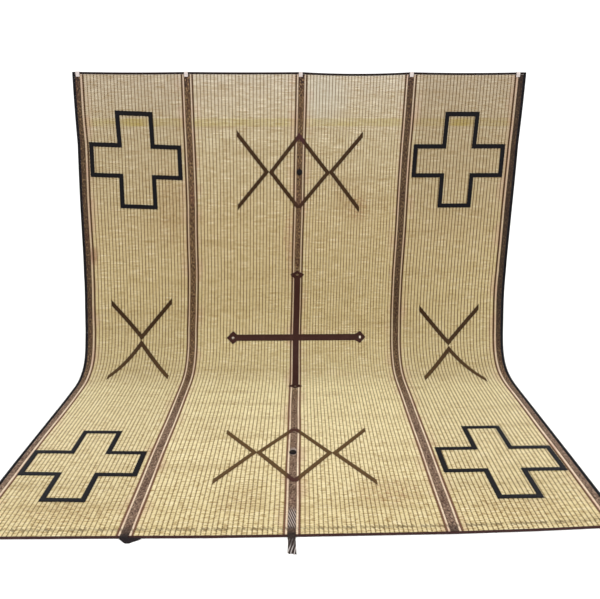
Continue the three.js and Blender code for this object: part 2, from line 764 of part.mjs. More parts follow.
for (const { name, u, s } of STUDS) {
  const stud = addMesh(name, new THREE.LatheGeometry(studProfile(), STUD_SIDES), 0x121116, 0.4);
  const { angle } = hang(u, s);
  stud.quaternion.setFromUnitVectors(
    new THREE.Vector3(0, 1, 0),
    new THREE.Vector3(0, -Math.cos(angle), Math.sin(angle)),
  );
  stud.position.copy(place(u, s, STRIP_SEAT));
}

// Clips: one folded plate each, over the top edge, its front leaf stepped in to bear on the band

function clipShape() {
  const back = -CLIP_CLEAR;
  const front = BINDING_HEIGHT + CLIP_CLEAR;
  const crown = BINDING_WIDTH + PIECE_GAP + CLIP_CLEAR;
  const bite = BAND_SEAT + BAND_THICKNESS + CLIP_CLEAR;
  const shape = new THREE.Shape();
  shape.moveTo(back, -CLIP_DROP);
  shape.lineTo(back, crown);
  shape.lineTo(front, crown);
  shape.lineTo(front, CLIP_STEP.from);
  shape.lineTo(bite, CLIP_STEP.to);
  shape.lineTo(bite, -CLIP_DROP);
  shape.lineTo(bite + CLIP_PLATE, -CLIP_DROP);
  shape.lineTo(bite + CLIP_PLATE, CLIP_STEP.to);
  shape.lineTo(front + CLIP_PLATE, CLIP_STEP.from);
  shape.lineTo(front + CLIP_PLATE, crown + CLIP_PLATE);
  shape.lineTo(back - CLIP_PLATE, crown + CLIP_PLATE);
  shape.lineTo(back - CLIP_PLATE, -CLIP_DROP);
  shape.closePath();
  return shape;
}

// The section is drawn with n to the right, so it is turned to run out along -Y and across along X
CLIP_SHIFTS.forEach((shift, i) => {
  const x = acrossAt(bandPlaces[i], 0) + shift;
  const geometry = new THREE.ExtrudeGeometry(clipShape(), { depth: CLIP_WIDTH, bevelEnabled: false });
  geometry.rotateX(QUARTER_TURN);
  geometry.rotateZ(-QUARTER_TURN);
  geometry.translate(x + CLIP_WIDTH / 2, 0, 0);
  addMesh(`clip_${i + 1}`, geometry, 0xcfc4c0, 0.45);
});

export default group;
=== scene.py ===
import math

import bpy
import numpy as np
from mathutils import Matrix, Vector


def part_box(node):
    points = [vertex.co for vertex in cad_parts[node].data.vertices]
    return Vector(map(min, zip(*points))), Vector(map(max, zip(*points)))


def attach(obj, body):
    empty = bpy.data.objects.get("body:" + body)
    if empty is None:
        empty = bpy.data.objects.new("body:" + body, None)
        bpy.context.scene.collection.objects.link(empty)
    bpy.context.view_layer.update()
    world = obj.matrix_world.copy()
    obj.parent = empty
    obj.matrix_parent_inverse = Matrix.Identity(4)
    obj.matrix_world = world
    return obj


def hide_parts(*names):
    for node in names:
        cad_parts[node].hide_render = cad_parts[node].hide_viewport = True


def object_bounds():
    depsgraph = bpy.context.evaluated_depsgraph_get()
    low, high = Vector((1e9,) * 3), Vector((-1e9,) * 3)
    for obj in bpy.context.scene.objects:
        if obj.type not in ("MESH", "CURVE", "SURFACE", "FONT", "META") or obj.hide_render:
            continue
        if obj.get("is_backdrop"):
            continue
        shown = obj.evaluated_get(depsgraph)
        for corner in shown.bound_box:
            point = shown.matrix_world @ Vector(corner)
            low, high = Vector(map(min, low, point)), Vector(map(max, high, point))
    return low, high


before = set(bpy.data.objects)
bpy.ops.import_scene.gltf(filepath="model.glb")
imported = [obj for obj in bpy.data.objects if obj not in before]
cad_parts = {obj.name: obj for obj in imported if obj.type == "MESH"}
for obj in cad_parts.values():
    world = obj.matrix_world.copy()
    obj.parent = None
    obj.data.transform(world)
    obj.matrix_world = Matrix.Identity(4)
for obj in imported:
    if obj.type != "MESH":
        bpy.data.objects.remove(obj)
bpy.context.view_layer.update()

# Reed field
# Reed stems laid side by side across the mat, bound by rows of thin thong that pull them down, so that soft
# ribs run the whole length between the rows. It is woven flat, face up, and hung afterwards: in the flat the
# place u runs across from the middle, s down from the top edge and n up from the back.
HALF_WIDTH = 1.25
LENGTH = 3.063
LENGTH_SKEW = 0.017
HEM_RISES = [0.021, 0.015, 0.01, 0.004, 0.002, 0.002, 0.002, 0.009, 0.021]
FIELD_HALF = 1.2387
VALLEY = 0.0028
CROWN = 0.0044
BACK_VALLEY = 0.0007
RIB_SHAPE = [(0.0, 0.0), (0.17, 0.66), (0.5, 1.0), (0.83, 0.66)]
BAND_PLACES = {"left_edge": -1.222, "left": -0.618, "centre": 0.0035, "right": 0.612, "right_edge": 1.222}
BAND_FLAT = 0.016
EDGE_BAND_FLAT = 0.013
THONG_OFFSET = 0.029
THONG_FLAT = 0.0035
PANEL_RIBS = [29, 29, 31, 29]

# The hang: straight down, one wide bend that starts lower at the left, then flat along the floor
BEND_START = 1.24
BEND_END = 1.933
BEND_SKEW = 0.03
TOP_NARROWING = 0.034
NARROWING_FADE = 0.57
LEAN = -0.0235
EDGE_BOW = 0.025
BOW_CENTRE = 1.43
BOW_REACH = 0.23
SPREAD_LEFT = -0.018
SPREAD_RIGHT = 0.008
SPREAD_START = 1.455
SPREAD_LENGTH = 0.45
TOP_SAGS = [0.0025, 0.0015, 0.008, 0.0035]
SAG_FADE = 0.12
WANDER_ROWS = [0, 0.36, 0.7, 1.1, 1.45, 1.75, 2.05, 2.6, 3.1]
WANDER = [
    (-HALF_WIDTH, [0, 0.012, 0.003, -0.0065, 0, -0.007, -0.002, -0.0025, 0.003]),
    (BAND_PLACES["left"], [-0.009, 0.0037, 0.0086, 0.0039, -0.0075, -0.0005, 0.0023, 0.002, 0.0043]),
    (BAND_PLACES["centre"], [0] * 9),
    (BAND_PLACES["right"], [-0.002, -0.0113, -0.0118, -0.008, -0.0015, -0.0052, -0.0022, -0.001, 0]),
    (HALF_WIDTH, [-0.001, -0.0105, -0.005, 0.0045, 0, -0.005, -0.001, 0.004, 0.007]),
]
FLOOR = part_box("reed_field")[0].z


def smooth(t):
    t = np.clip(t, 0, 1)
    return t * t * (3 - 2 * t)


BEND_STEPS = 400
SWELLS = [
    (1.0, (5.1, 1.7, 0.4), (3.9, 1.1)),
    (0.6, (11.3, -2.3, 2.0), (7.7, 0.3)),
    (0.35, (23.0, 4.0, 0.0), (13.0, 1.9)),
]
SWELL_HUNG = 0.0022
SWELL_LAID = 0.0008
SWELL_REACH = 1.95
SWAY = 0.0008
TOP_STILL = 0.25
HEM_STILL = 0.2
SIDE_STILL = 0.05

bend_angles = np.pi / 2 * smooth((np.arange(BEND_STEPS) + 0.5) / BEND_STEPS)
bend_shares = np.linspace(0, 1, BEND_STEPS + 1)
bend_down = np.concatenate([[0], np.cumsum(np.cos(bend_angles))]) / BEND_STEPS
bend_out = np.concatenate([[0], np.cumsum(np.sin(bend_angles))]) / BEND_STEPS


def length_at(u):
    places = list(BAND_PLACES.values())
    halves = [(a + b) / 2 for a, b in zip(places, places[1:])]
    return LENGTH - LENGTH_SKEW * u / HALF_WIDTH - np.interp(u, sorted(places + halves), HEM_RISES)


def wander(u, s):
    """How far the side edges, and the two bands between them, stray to the side down the length."""
    places = [place for place, _ in WANDER]
    shift = np.zeros_like(u)
    for place, shifts in WANDER:
        share = np.interp(u, places, [1 if other == place else 0 for other in places])
        shift += share * np.interp(s, WANDER_ROWS, shifts)
    return shift


def slack(u, s):
    """The top edge dips between the clips, and the sheet swells and dips a little all over."""
    places = list(BAND_PLACES.values())
    dip = np.zeros_like(u)
    for a, b, sag in zip(places, places[1:], TOP_SAGS):
        t = np.clip((u - a) / (b - a), 0, 1)
        dip += 4 * sag * t * (1 - t)
    dip *= np.clip(1 - s / SAG_FADE, 0, 1)
    swell = sum(
        high * np.sin(a * u + b * s + c) * np.sin(d * s + e) for high, (a, b, c), (d, e) in SWELLS
    )
    return dip, swell


def hung_place(u, s, n):
    """Where the place (u, s, n) of the flat mat is on the hung one."""
    side = u / HALF_WIDTH
    start = BEND_START - BEND_SKEW * side
    end = BEND_END + BEND_SKEW * side * (1 - bend_down[-1]) / bend_down[-1]
    t = (s - start) / (end - start)
    angle = np.pi / 2 * smooth(t)
    down = np.minimum(s, start) + (end - start) * np.interp(t, bend_shares, bend_down)
    out = (end - start) * np.interp(t, bend_shares, bend_out) + np.maximum(0, s - end)
    gathered = 1 - TOP_NARROWING * np.exp(-s / NARROWING_FADE)
    spread = np.where(u < 0, SPREAD_LEFT, SPREAD_RIGHT) * smooth((s - SPREAD_START) / SPREAD_LENGTH)
    bow = EDGE_BOW * np.exp(-(((s - BOW_CENTRE) / BOW_REACH) ** 2))
    x = u * gathered + LEAN * s + np.sign(side) * side**4 * (bow + spread) + wander(u, s)
    dip, swell = slack(u, s)
    inside = smooth(s / TOP_STILL) * smooth((length_at(u) - s) / HEM_STILL)
    inside = inside * smooth((HALF_WIDTH - abs(u)) / SIDE_STILL)
    x += SWAY * inside * np.sin(11.3 * s + 2.9 * u) * np.sin(5.1 * u + 1.3)
    laid = smooth(t)
    lift = inside * ((1 - laid) * SWELL_HUNG * swell + laid * SWELL_LAID * (swell + SWELL_REACH))
    n = n + lift
    return np.stack([x, -out - n * np.cos(angle), -down - dip + n * np.sin(angle)], axis=-1)


def hang(piece):
    """Moves a piece from the flat to its hung place, keeping its place in the flat as its map called plan."""
    mesh = piece.data
    flat = np.empty(len(mesh.vertices) * 3)
    mesh.vertices.foreach_get("co", flat)
    u, s, n = flat.reshape(-1, 3).T * np.array([[1], [-1], [1]])
    corners = np.empty(len(mesh.loops), int)
    mesh.loops.foreach_get("vertex_index", corners)
    plan = mesh.uv_layers.new(name="plan")
    plan.data.foreach_set("uv", np.stack([u, s], axis=1)[corners].ravel())
    mesh.vertices.foreach_set("co", hung_place(u, s, n).ravel())
    mesh.update()


def lone(piece):
    bpy.ops.object.select_all(action="DESELECT")
    piece.select_set(True)
    bpy.context.view_layer.objects.active = piece


def face_outwards(piece, crease=50):
    """Merges doubles, points the faces outwards and shades smooth all but edges over the crease angle."""
    lone(piece)
    bpy.ops.object.mode_set(mode="EDIT")
    bpy.ops.mesh.select_all(action="SELECT")
    bpy.ops.mesh.remove_doubles(threshold=0.00001)
    bpy.ops.mesh.normals_make_consistent(inside=False)
    bpy.ops.object.mode_set(mode="OBJECT")
    bpy.ops.object.shade_smooth_by_angle(angle=math.radians(crease))


def skin(name, top, bottom, ring=False, weave=None):
    """A closed flat piece between two grids of points, in rows along it and columns across it.
    weave gives each point of the grid its place along and across the piece, as the map called weave."""
    rows, columns = top.shape[:2]
    over = np.arange(rows * columns).reshape(rows, columns)
    under = over + rows * columns
    here, there = (over, np.roll(over, -1, axis=0)) if ring else (over[:-1], over[1:])
    low_here, low_there = here + rows * columns, there + rows * columns

    def quads(*corners):
        return np.stack([c.ravel() for c in corners], axis=1)

    faces = [
        quads(here[:, :-1], there[:, :-1], there[:, 1:], here[:, 1:]),
        quads(low_here[:, :-1], low_here[:, 1:], low_there[:, 1:], low_there[:, :-1]),
        quads(here[:, 0], low_here[:, 0], low_there[:, 0], there[:, 0]),
        quads(here[:, -1], there[:, -1], low_there[:, -1], low_here[:, -1]),
    ]
    if not ring:
        faces.append(quads(over[0, :-1], over[0, 1:], under[0, 1:], under[0, :-1]))
        faces.append(quads(over[-1, :-1], under[-1, :-1], under[-1, 1:], over[-1, 1:]))
    faces = np.concatenate(faces)
    points = np.concatenate([top.reshape(-1, 3), bottom.reshape(-1, 3)])
    mesh = bpy.data.meshes.new(name)
    mesh.from_pydata(points.tolist(), [], faces.tolist())
    if weave is not None:
        values = np.concatenate([weave.reshape(-1, 2)] * 2)
        layer = mesh.uv_layers.new(name="weave")
        layer.data.foreach_set("uv", values[faces.ravel()].ravel())
    piece = bpy.data.objects.new(name, mesh)
    bpy.context.collection.objects.link(piece)
    return piece


def rib_columns():
    """Columns of points across the field: place, share of the rib's height, and count of ribs so far."""
    columns = []

    def ribs(start, end, count, first):
        pitch = (end - start) / count
        for i in range(count):
            columns.extend((start + (i + t) * pitch, h, first + i + t) for t, h in RIB_SHAPE)
        columns.append((end, 0.0, first + count))
        return first + count

    bands = BAND_PLACES
    near, far = THONG_OFFSET - THONG_FLAT, THONG_OFFSET + THONG_FLAT
    columns.append((-FIELD_HALF, 0.0, 0))
    total = ribs(bands["left_edge"] + EDGE_BAND_FLAT, bands["left_edge"] + near, 1, 0)
    start = bands["left_edge"] + far
    for name, count in zip(("left", "centre", "right"), PANEL_RIBS):
        band = bands[name]
        total = ribs(start, band - far, count, total)
        total = ribs(band - near, band - BAND_FLAT, 1, total)
        total = ribs(band + BAND_FLAT, band + near, 1, total)
        start = band + far
    total = ribs(start, bands["right_edge"] - far, PANEL_RIBS[-1], total)
    ribs(bands["right_edge"] - near, bands["right_edge"] - EDGE_BAND_FLAT, 1, total)
    columns.append((FIELD_HALF, 0.0, total + 1))
    return np.array(columns)


CLOSE_FROM = 1.19
CLOSE_TO = 1.97
field_rows = np.concatenate([
    np.linspace(0, CLOSE_FROM, 28)[:-1],
    np.linspace(CLOSE_FROM, CLOSE_TO, 34)[:-1],
    np.linspace(CLOSE_TO, LENGTH, 26),
])
columns = rib_columns()
u, reed_place = np.meshgrid(columns[:, 0], field_rows)
laid_share = np.clip((reed_place - CLOSE_TO) / (LENGTH - CLOSE_TO), 0, 1)
s = reed_place * (1 + (length_at(u) / LENGTH - 1) * laid_share)
height = np.broadcast_to(columns[:, 1], u.shape)
front = np.stack([u, -s, VALLEY + (CROWN - VALLEY) * height], axis=-1)
back = np.stack([u, -s, BACK_VALLEY * (1 - height)], axis=-1)
ribs_map = np.stack([np.broadcast_to(columns[:, 2], u.shape), reed_place], axis=-1)
field = skin("woven_reeds", front, back, weave=ribs_map)
hang(field)
face_outwards(field)


def colour(code):
    """A colour from its usual hexadecimal code, as the shader wants it."""
    parts = [int(code[i : i + 2], 16) / 255 for i in (1, 3, 5)]
    return (*[p / 12.92 if p <= 0.04045 else ((p + 0.055) / 1.055) ** 2.4 for p in parts], 1.0)


class Finish:
    """A finish of the mat, with short ways to add what its pattern is made of."""

    def __init__(self, name, roughness):
        self.material = bpy.data.materials.new(name)
        self.material.use_nodes = True
        self.tree = self.material.node_tree
        self.shader = self.tree.nodes["Principled BSDF"]
        self.shader.inputs["Roughness"].default_value = roughness

    def put(self, socket, value):
        if isinstance(value, bpy.types.NodeSocket):
            self.tree.links.new(value, socket)
        else:
            socket.default_value = value

    def add(self, kind, values=(), **settings):
        made = self.tree.nodes.new(kind)
        for key, value in settings.items():
            setattr(made, key, value)
        for key, value in dict(values).items():
            self.put(made.inputs[key], value)
        return made

    def maths(self, operation, *values):
        made = self.add("ShaderNodeMath", enumerate(values), operation=operation)
        return made.outputs[0]

    def times(self, first, *others):
        for other in others:
            first = self.maths("MULTIPLY", first, other)
        return first

    def place(self, name):
        """The two numbers of a piece's map."""
        source = self.add("ShaderNodeUVMap", uv_map=name)
        parts = self.add("ShaderNodeSeparateXYZ", {0: source.outputs[0]})
        return parts.outputs[0], parts.outputs[1]

    def join(self, x, y, z=0.0):
        return self.add("ShaderNodeCombineXYZ", {0: x, 1: y, 2: z}).outputs[0]

    def noise(self, x, y, across, along, detail=2.0, z=0.0):
        """Soft noise with its own scale in each direction."""
        where = self.join(self.times(x, across), self.times(y, along), z)
        values = {"Vector": where, "Scale": 1.0, "Detail": detail}
        return self.add("ShaderNodeTexNoise", values).outputs["Fac"]

    def wave(self, value, pitch):
        """A wave from 0 to 1, one for each pitch, at 1 where value is a whole number of pitches."""
        turn = self.times(value, 2 * math.pi / pitch)
        return self.maths("MULTIPLY_ADD", self.maths("COSINE", turn), 0.5, 0.5)

    def between(self, value, low, high):
        """0 up to low, 1 from high on, and smooth from one to the other."""
        values = {"Value": value, "From Min": low, "From Max": high}
        made = self.add("ShaderNodeMapRange", values, interpolation_type="SMOOTHSTEP")
        return made.outputs[0]

    def patch(self, x, y, middle, half):
        """A soft round patch, 1 in its middle and 0 from its rim on."""
        dx = self.maths("DIVIDE", self.maths("SUBTRACT", x, middle[0]), half[0])
        dy = self.maths("DIVIDE", self.maths("SUBTRACT", y, middle[1]), half[1])
        squares = self.maths("ADD", self.times(dx, dx), self.times(dy, dy))
        return self.between(squares, 1.0, 0.0)

    def mix(self, share, a, b):
        made = self.add("ShaderNodeMix", {0: share, 6: a, 7: b}, data_type="RGBA")
        return made.outputs[2]

    def tint(self, base, code, *shares):
        """Lays a colour over the base, as strongly as its shares multiplied."""
        return self.mix(self.times(*shares), base, colour(code))

    def ramp(self, value, stops):
        made = self.add("ShaderNodeValToRGB", {0: value})
        elements = made.color_ramp.elements
        while len(elements) < len(stops):
            elements.new(0.5)
        for element, (at, tint) in zip(elements, stops):
            element.position = at
            element.color = tint
        return made.outputs[0]

    def relief(self, height, depth):
        bump = self.add("ShaderNodeBump", {"Height": height, "Distance": depth})
        self.put(self.shader.inputs["Normal"], bump.outputs[0])

    def done(self, base):
        self.put(self.shader.inputs["Base Color"], base)
        return self.material


STEM_PITCH = 0.0052
STEM_RELIEF = 0.0012
THONG_DASH = 2 * STEM_PITCH
# The straw's colour down the length, with painted light in it: greyer at the top, darker where the mat hangs
# and through the bend, much brighter where it lies on the floor as if lit from above, and a little darker
# again at the hem.
STRAW_WITH_PAINTED_LIGHT = [(0.0, "#c0b4a1"), (0.35, "#bfb08f"), (0.8, "#c2af85"), (1.35, "#ccba8c"), (1.68, "#cbbb8e"),
         (1.78, "#d5c69a"), (1.9, "#ecdfb1"), (2.5, "#ebdcae"), (3.0, "#dccb9b")]
STRAW_PALE = "#fbf1d4"
STRAW_DARK = "#8f7038"
STRAW_OLIVE = "#a8963a"
STRAW_GREY = "#c4c0b2"
GREY_PLACE = ((0.13, 0.12), (0.18, 0.16))
OUTER_SHADE = "#8a7454"
STAIN_BROWN = "#a3804e"
FLECK_BROWN = "#7d5630"
FLECK_RED = "#93503c"
PALE_RIB = "#bfa692"
PALE_RIB_LAID_LIT = "#ecd2c6"
PALE_RIB_EDGE = (0.0275, 0.0262)
DYE_RED = "#b98f80"
EDGE_GAP_SHADE = "#15111a"
EDGE_GAP_SHADE_FROM = (1.2325, 1.235)
SIDE_DYE = "#7a3a30"
SIDE_DYE_PLACE = ((-1.19, 0.985), (0.035, 0.07))
ROW_THONG = "#3c2808"
STRIPE_TOP = (0.218, 0.228)
STRIPE_FOOT = (0.268, 0.262)
STRIPE_SPOTS = [((-0.925, 0.245), (0.085, 0.04)), ((0.915, 0.245), (0.08, 0.04))]
STITCH_SLANT = 0.012
STITCH_TOP = (0.046, 0.042)
STITCH_FOOT = (0.028, 0.032)
FINIAL_HOLES = [(-0.3745, 1.502), (0.3955, 1.502)]
HOLE_SPOT = (0.014, 0.014)
PALE_THREAD = "#fff4ea"
STAINS = [
    ((-0.2, 2.86), (0.14, 0.12)),
    ((-0.9, 2.93), (0.25, 0.1)),
    ((0.9, 2.94), (0.22, 0.1)),
    ((0.3, 0.66), (0.11, 0.16)),
    ((-0.75, 0.7), (0.1, 0.3)),
]
RED_STAINS = [
    ((0.4, 2.82), (0.2, 0.12)),
    ((0.36, 0.72), (0.06, 0.1)),
    ((-0.05, 0.9), (0.04, 0.2)),
]


def reed_finish():
    finish = Finish("reeds", 0.62)
    finish.shader.inputs["Specular IOR Level"].default_value = 0.2
    count, s = finish.place("weave")
    u, _ = finish.place("plan")
    # Painted light: the straw is darker where the mat hangs and through the bend, and brighter where it lies
    # on the floor.
    base = finish.ramp(finish.maths("DIVIDE", s, LENGTH), [(at / LENGTH, colour(code)) for at, code in STRAW_WITH_PAINTED_LIGHT])

    # Each stem has its own tone along its own stretch, with darker gaps and flecks between stems
    warp = finish.noise(u, s, 3.0, 9.0)
    stem = finish.maths("ADD", s, finish.times(warp, 0.012))
    roundness = finish.wave(stem, STEM_PITCH)
    streak = finish.noise(u, s, 11.0, 190.0, 3.0)
    base = finish.tint(base, STRAW_PALE, finish.between(streak, 0.52, 0.72), 0.5)
    base = finish.tint(base, STRAW_DARK, finish.between(streak, 0.5, 0.3), 0.4)
    tone = finish.noise(u, s, 1.3, 16.0, 3.0, z=4.0)
    base = finish.tint(base, STRAW_DARK, finish.between(tone, 0.5, 0.78), 0.3)
    laid = finish.between(s, 1.5, 3.0)
    gaps = finish.between(finish.noise(u, s, 42.0, 105.0, 1.0, z=11.0), 0.52, 0.66)
    base = finish.tint(base, STRAW_DARK, gaps, finish.maths("MULTIPLY_ADD", laid, 0.25, 0.3))
    flecks = finish.between(finish.noise(u, s, 20.0, 150.0, 2.0, z=9.0), 0.6, 0.7)
    base = finish.tint(base, STRAW_DARK, flecks, finish.maths("MULTIPLY_ADD", laid, 0.35, 0.4))

    # An old stripe of olive reeds near the top, stains, and the red that has run out of the bands
    in_stripe = finish.times(finish.between(s, *STRIPE_TOP), finish.between(s, *STRIPE_FOOT))
    strength = finish.maths("MULTIPLY_ADD", finish.noise(u, s, 6.0, 80.0, 2.0, z=7.0), 0.7, -0.05)
    for middle, half in STRIPE_SPOTS:
        strength = finish.maths("MULTIPLY_ADD", finish.patch(u, s, middle, half), 0.4, strength)
    base = finish.tint(base, STRAW_OLIVE, in_stripe, strength)
    base = finish.tint(base, STRAW_GREY, finish.patch(u, s, *GREY_PLACE), 0.4)
    sideways = finish.maths("ABSOLUTE", u)
    # Painted shade: the outer panels are darker near the top, more so on the right, and a little darker from
    # the bend on along the floor, as if the light fell off towards the sides.
    outer = finish.between(sideways, 0.6, 0.7)
    upper_share = finish.maths("MULTIPLY_ADD", finish.between(u, 0.0, 0.6), 0.16, 0.28)
    upper_share = finish.times(upper_share, finish.between(s, 1.3, 0.15))
    laid_share = finish.times(finish.between(s, 1.15, 1.5), finish.between(s, 3.0, 2.8))
    outer_share = finish.maths("MULTIPLY_ADD", laid_share, 0.13, upper_share)
    base = finish.tint(base, OUTER_SHADE, outer, outer_share)
    blotch = finish.between(finish.noise(u, s, 34.0, 170.0, 2.0, z=2.0), 0.52, 0.64)
    for stains, tint, fleck in ((STAINS, STAIN_BROWN, FLECK_BROWN), (RED_STAINS, STAIN_BROWN, FLECK_RED)):
        stain = 0.0
        for middle, half in stains:
            stain = finish.maths("MAXIMUM", stain, finish.patch(u, s, middle, half))
        base = finish.tint(base, tint, stain, 0.12)
        base = finish.tint(base, fleck, stain, blotch, 0.5)
    off_band = HALF_WIDTH
    for place in BAND_PLACES.values():
        here = finish.maths("ABSOLUTE", finish.maths("SUBTRACT", u, place))
        off_band = finish.maths("MINIMUM", off_band, here)
    # The pale rib beside each band, with painted light: a brighter copy of its colour where it lies on the
    # floor.
    beside = finish.times(finish.between(off_band, *PALE_RIB_EDGE), 0.5)
    beside_tint = finish.mix(finish.between(s, 1.3, 2.0), colour(PALE_RIB), colour(PALE_RIB_LAID_LIT))
    base = finish.mix(beside, base, beside_tint)
    dye = finish.between(finish.noise(u, s, 14.0, 7.0, 2.0, z=5.0), 0.4, 0.7)
    dye = finish.times(finish.between(off_band, 0.085, 0.03), dye)
    base = finish.tint(base, DYE_RED, dye, 0.4)
    base = finish.tint(base, SIDE_DYE, finish.patch(u, s, *SIDE_DYE_PLACE), 0.5)
    for place in FINIAL_HOLES:
        base = finish.tint(base, PALE_THREAD, finish.patch(u, s, place, HOLE_SPOT), 0.7)

    # The rows of thong between the ribs: a dark line of short stitches, shaded on both sides
    rib_place = finish.maths("FRACT", count)
    off_row = finish.maths("ABSOLUTE", finish.maths("SUBTRACT", rib_place, 0.5))
    near_row = finish.between(off_row, 0.22, 0.5)
    base = finish.tint(base, STRAW_DARK, near_row, 0.4)
    row = finish.between(off_row, 0.33, 0.41)
    whole = finish.maths("FLOOR", finish.maths("ADD", count, 0.5))
    shifted = finish.maths("MULTIPLY_ADD", whole, THONG_DASH / 2, stem)
    dash = finish.between(finish.wave(shifted, THONG_DASH), 0.1, 0.6)
    worn = finish.maths("MULTIPLY_ADD", finish.noise(u, s, 12.0, 14.0, 3.0, z=8.0), 0.5, 0.12)
    faded = finish.maths("MULTIPLY_ADD", finish.between(s, 1.4, 1.9), -0.2, 0.9)
    faded = finish.maths("MULTIPLY_ADD", finish.between(s, 0.7, 0.15), -0.17, faded)
    faded = finish.maths("MULTIPLY_ADD", finish.between(u, 0.55, 0.7), 0.12, faded)
    thong = finish.times(row, finish.maths("MULTIPLY_ADD", dash, 0.6, worn))
    base = finish.tint(base, ROW_THONG, thong, faded)
    # Painted shade: the thin strip of reeds between the edge bands and the side bindings is painted near
    # black, as a shadow gap.
    base = finish.tint(base, EDGE_GAP_SHADE, finish.between(sideways, *EDGE_GAP_SHADE_FROM))

    # A row of slanted stitches across every rib just above the hem
    hem = finish.maths("SUBTRACT", LENGTH, s)
    slanted = finish.maths("MULTIPLY_ADD", rib_place, STITCH_SLANT, hem)
    in_row = finish.times(finish.between(slanted, *STITCH_TOP), finish.between(slanted, *STITCH_FOOT))
    missing = finish.noise(u, s, 30.0, 4.0, 2.0, z=6.0)
    base = finish.tint(base, ROW_THONG, in_row, finish.between(missing, 0.3, 0.6), 0.6)
    finish.relief(finish.maths("ADD", roundness, finish.times(row, dash, 0.8)), STEM_RELIEF)
    return finish.done(base)


field.data.materials.append(reed_finish())
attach(field, "root")
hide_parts("reed_field")

# Bindings
# A strip of leather rolled along each edge and laced down at every rib, black along the sides, dark brown at
# the top and wine red at the bottom. The side ones run the full length and the end ones lie between them.
BINDING_WIDTH = 0.011
BINDING_HEIGHT = 0.006
PIECE_GAP = 0.0003
LACE_PITCH = 0.0187
LACE_PINCH = 0.1
LACE_ROW = 0.0052
LEATHER_RELIEF = 0.0007
ROLL_LIP = 0.35
BINDING_STEP = 0.0047


def roll(place_at, lengths, name):
    """A rolled strip along an edge: place_at gives (u, s) for a place along it and a distance out from it."""
    angles = np.linspace(math.pi, 0, 8)
    along, turn = np.meshgrid(lengths, angles, indexing="ij")
    pinch = 1 - LACE_PINCH * np.clip(np.cos(2 * np.pi * along / LACE_PITCH), 0, 1) ** 6
    out = BINDING_WIDTH / 2 * (1 + np.cos(turn))
    half = BINDING_HEIGHT / 2 * (ROLL_LIP + (1 - ROLL_LIP) * np.sin(turn)) * pinch
    u, s = place_at(along, out)
    top = np.stack([u, -s, BINDING_HEIGHT / 2 + half], axis=-1)
    bottom = np.stack([u, -s, np.full_like(half, BINDING_HEIGHT / 2) - half / pinch], axis=-1)
    return skin(name, top, bottom, weave=np.stack([along, out], axis=-1))


def leather_finish(name, dark, light, laid, roughness=0.55, stitch=STEM_PITCH, middle=None):
    """Soft goat leather, laced through the reeds: a row of small raised stitches with painted highlights on
    their tops, paler where it is worn, in a painted lighter copy of its colour where it lies on the floor as
    if lit from above, and with its own tone over the middle band."""
    finish = Finish(name, roughness)
    finish.shader.inputs["Specular IOR Level"].default_value = 0.12
    along, across = finish.place("weave")
    u, s = finish.place("plan")
    grain = finish.noise(along, across, 260.0, 260.0, 3.0)
    worn = finish.noise(u, s, 18.0, 18.0, 3.0, z=3.0)
    # Painted light: where the leather lies on the floor it takes the lighter laid tone, as if lit from above.
    base = finish.mix(finish.between(s, 1.35, 2.1), colour(dark), colour(laid))
    wear = finish.times(finish.between(worn, 0.45, 0.75), finish.between(grain, 0.4, 0.7))
    base = finish.tint(base, light, wear, 0.6)
    ridge = finish.wave(along, stitch)
    cross_ridge = finish.wave(finish.maths("ADD", across, finish.times(along, 0.35)), LACE_ROW)
    laced = finish.times(ridge, cross_ridge)
    pattern = finish.maths("MULTIPLY_ADD", grain, 0.5, laced)
    # Painted highlight: the tops of the raised stitches are painted paler, as if they caught the light.
    stitch_highlight = finish.between(laced, 0.55, 0.95)
    base = finish.tint(base, light, stitch_highlight, 0.35)
    if middle is not None:
        off_middle = finish.maths("ABSOLUTE", finish.maths("SUBTRACT", u, 0.004))
        share = finish.maths("MULTIPLY_ADD", finish.between(s, 0.6, 0.75), -0.8, 0.85)
        share = finish.maths("MAXIMUM", share, finish.times(finish.between(s, 1.5, 2.0), 0.85))
        over_band = finish.times(finish.between(off_middle, 0.036, 0.012), share)
        base = finish.tint(base, middle, over_band)
    finish.relief(pattern, LEATHER_RELIEF)
    return finish.done(base)


black_leather = leather_finish("black_leather", dark="#070509", light="#19171f", laid="#0e0f15")
dark_leather = leather_finish("dark_leather", dark="#190e0b", light="#33241d", laid="#190e0b")
wine_leather = leather_finish("wine_leather", dark="#331912", light="#54392f", laid="#321b1b")


def fit(piece, material, node):
    face_outwards(piece)
    piece.data.materials.append(material)
    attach(piece, "root")
    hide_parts(node)
    return piece


def stations(start, end, step):
    return np.linspace(start, end, max(2, round((end - start) / step) + 1))


for side, sign in (("left", -1), ("right", 1)):
    reach = length_at(sign * FIELD_HALF) + BINDING_WIDTH
    edge = FIELD_HALF + PIECE_GAP
    side_steps = stations(-BINDING_WIDTH, reach, BINDING_STEP)
    roll_piece = roll(lambda along, out: (sign * (edge + out), along), side_steps, f"side_roll_{side}")
    hang(roll_piece)
    fit(roll_piece, black_leather, f"binding_{side}")

end_reach = FIELD_HALF - PIECE_GAP
end_steps = stations(-end_reach, end_reach, BINDING_STEP)
top_roll = roll(lambda along, out: (along, -PIECE_GAP - out), end_steps, "top_roll")
hang(top_roll)
fit(top_roll, dark_leather, "binding_top")
low_roll = roll(lambda along, out: (along, length_at(along) + PIECE_GAP + out), end_steps, "bottom_roll")
hang(low_roll)
fit(low_roll, wine_leather, "binding_bottom")

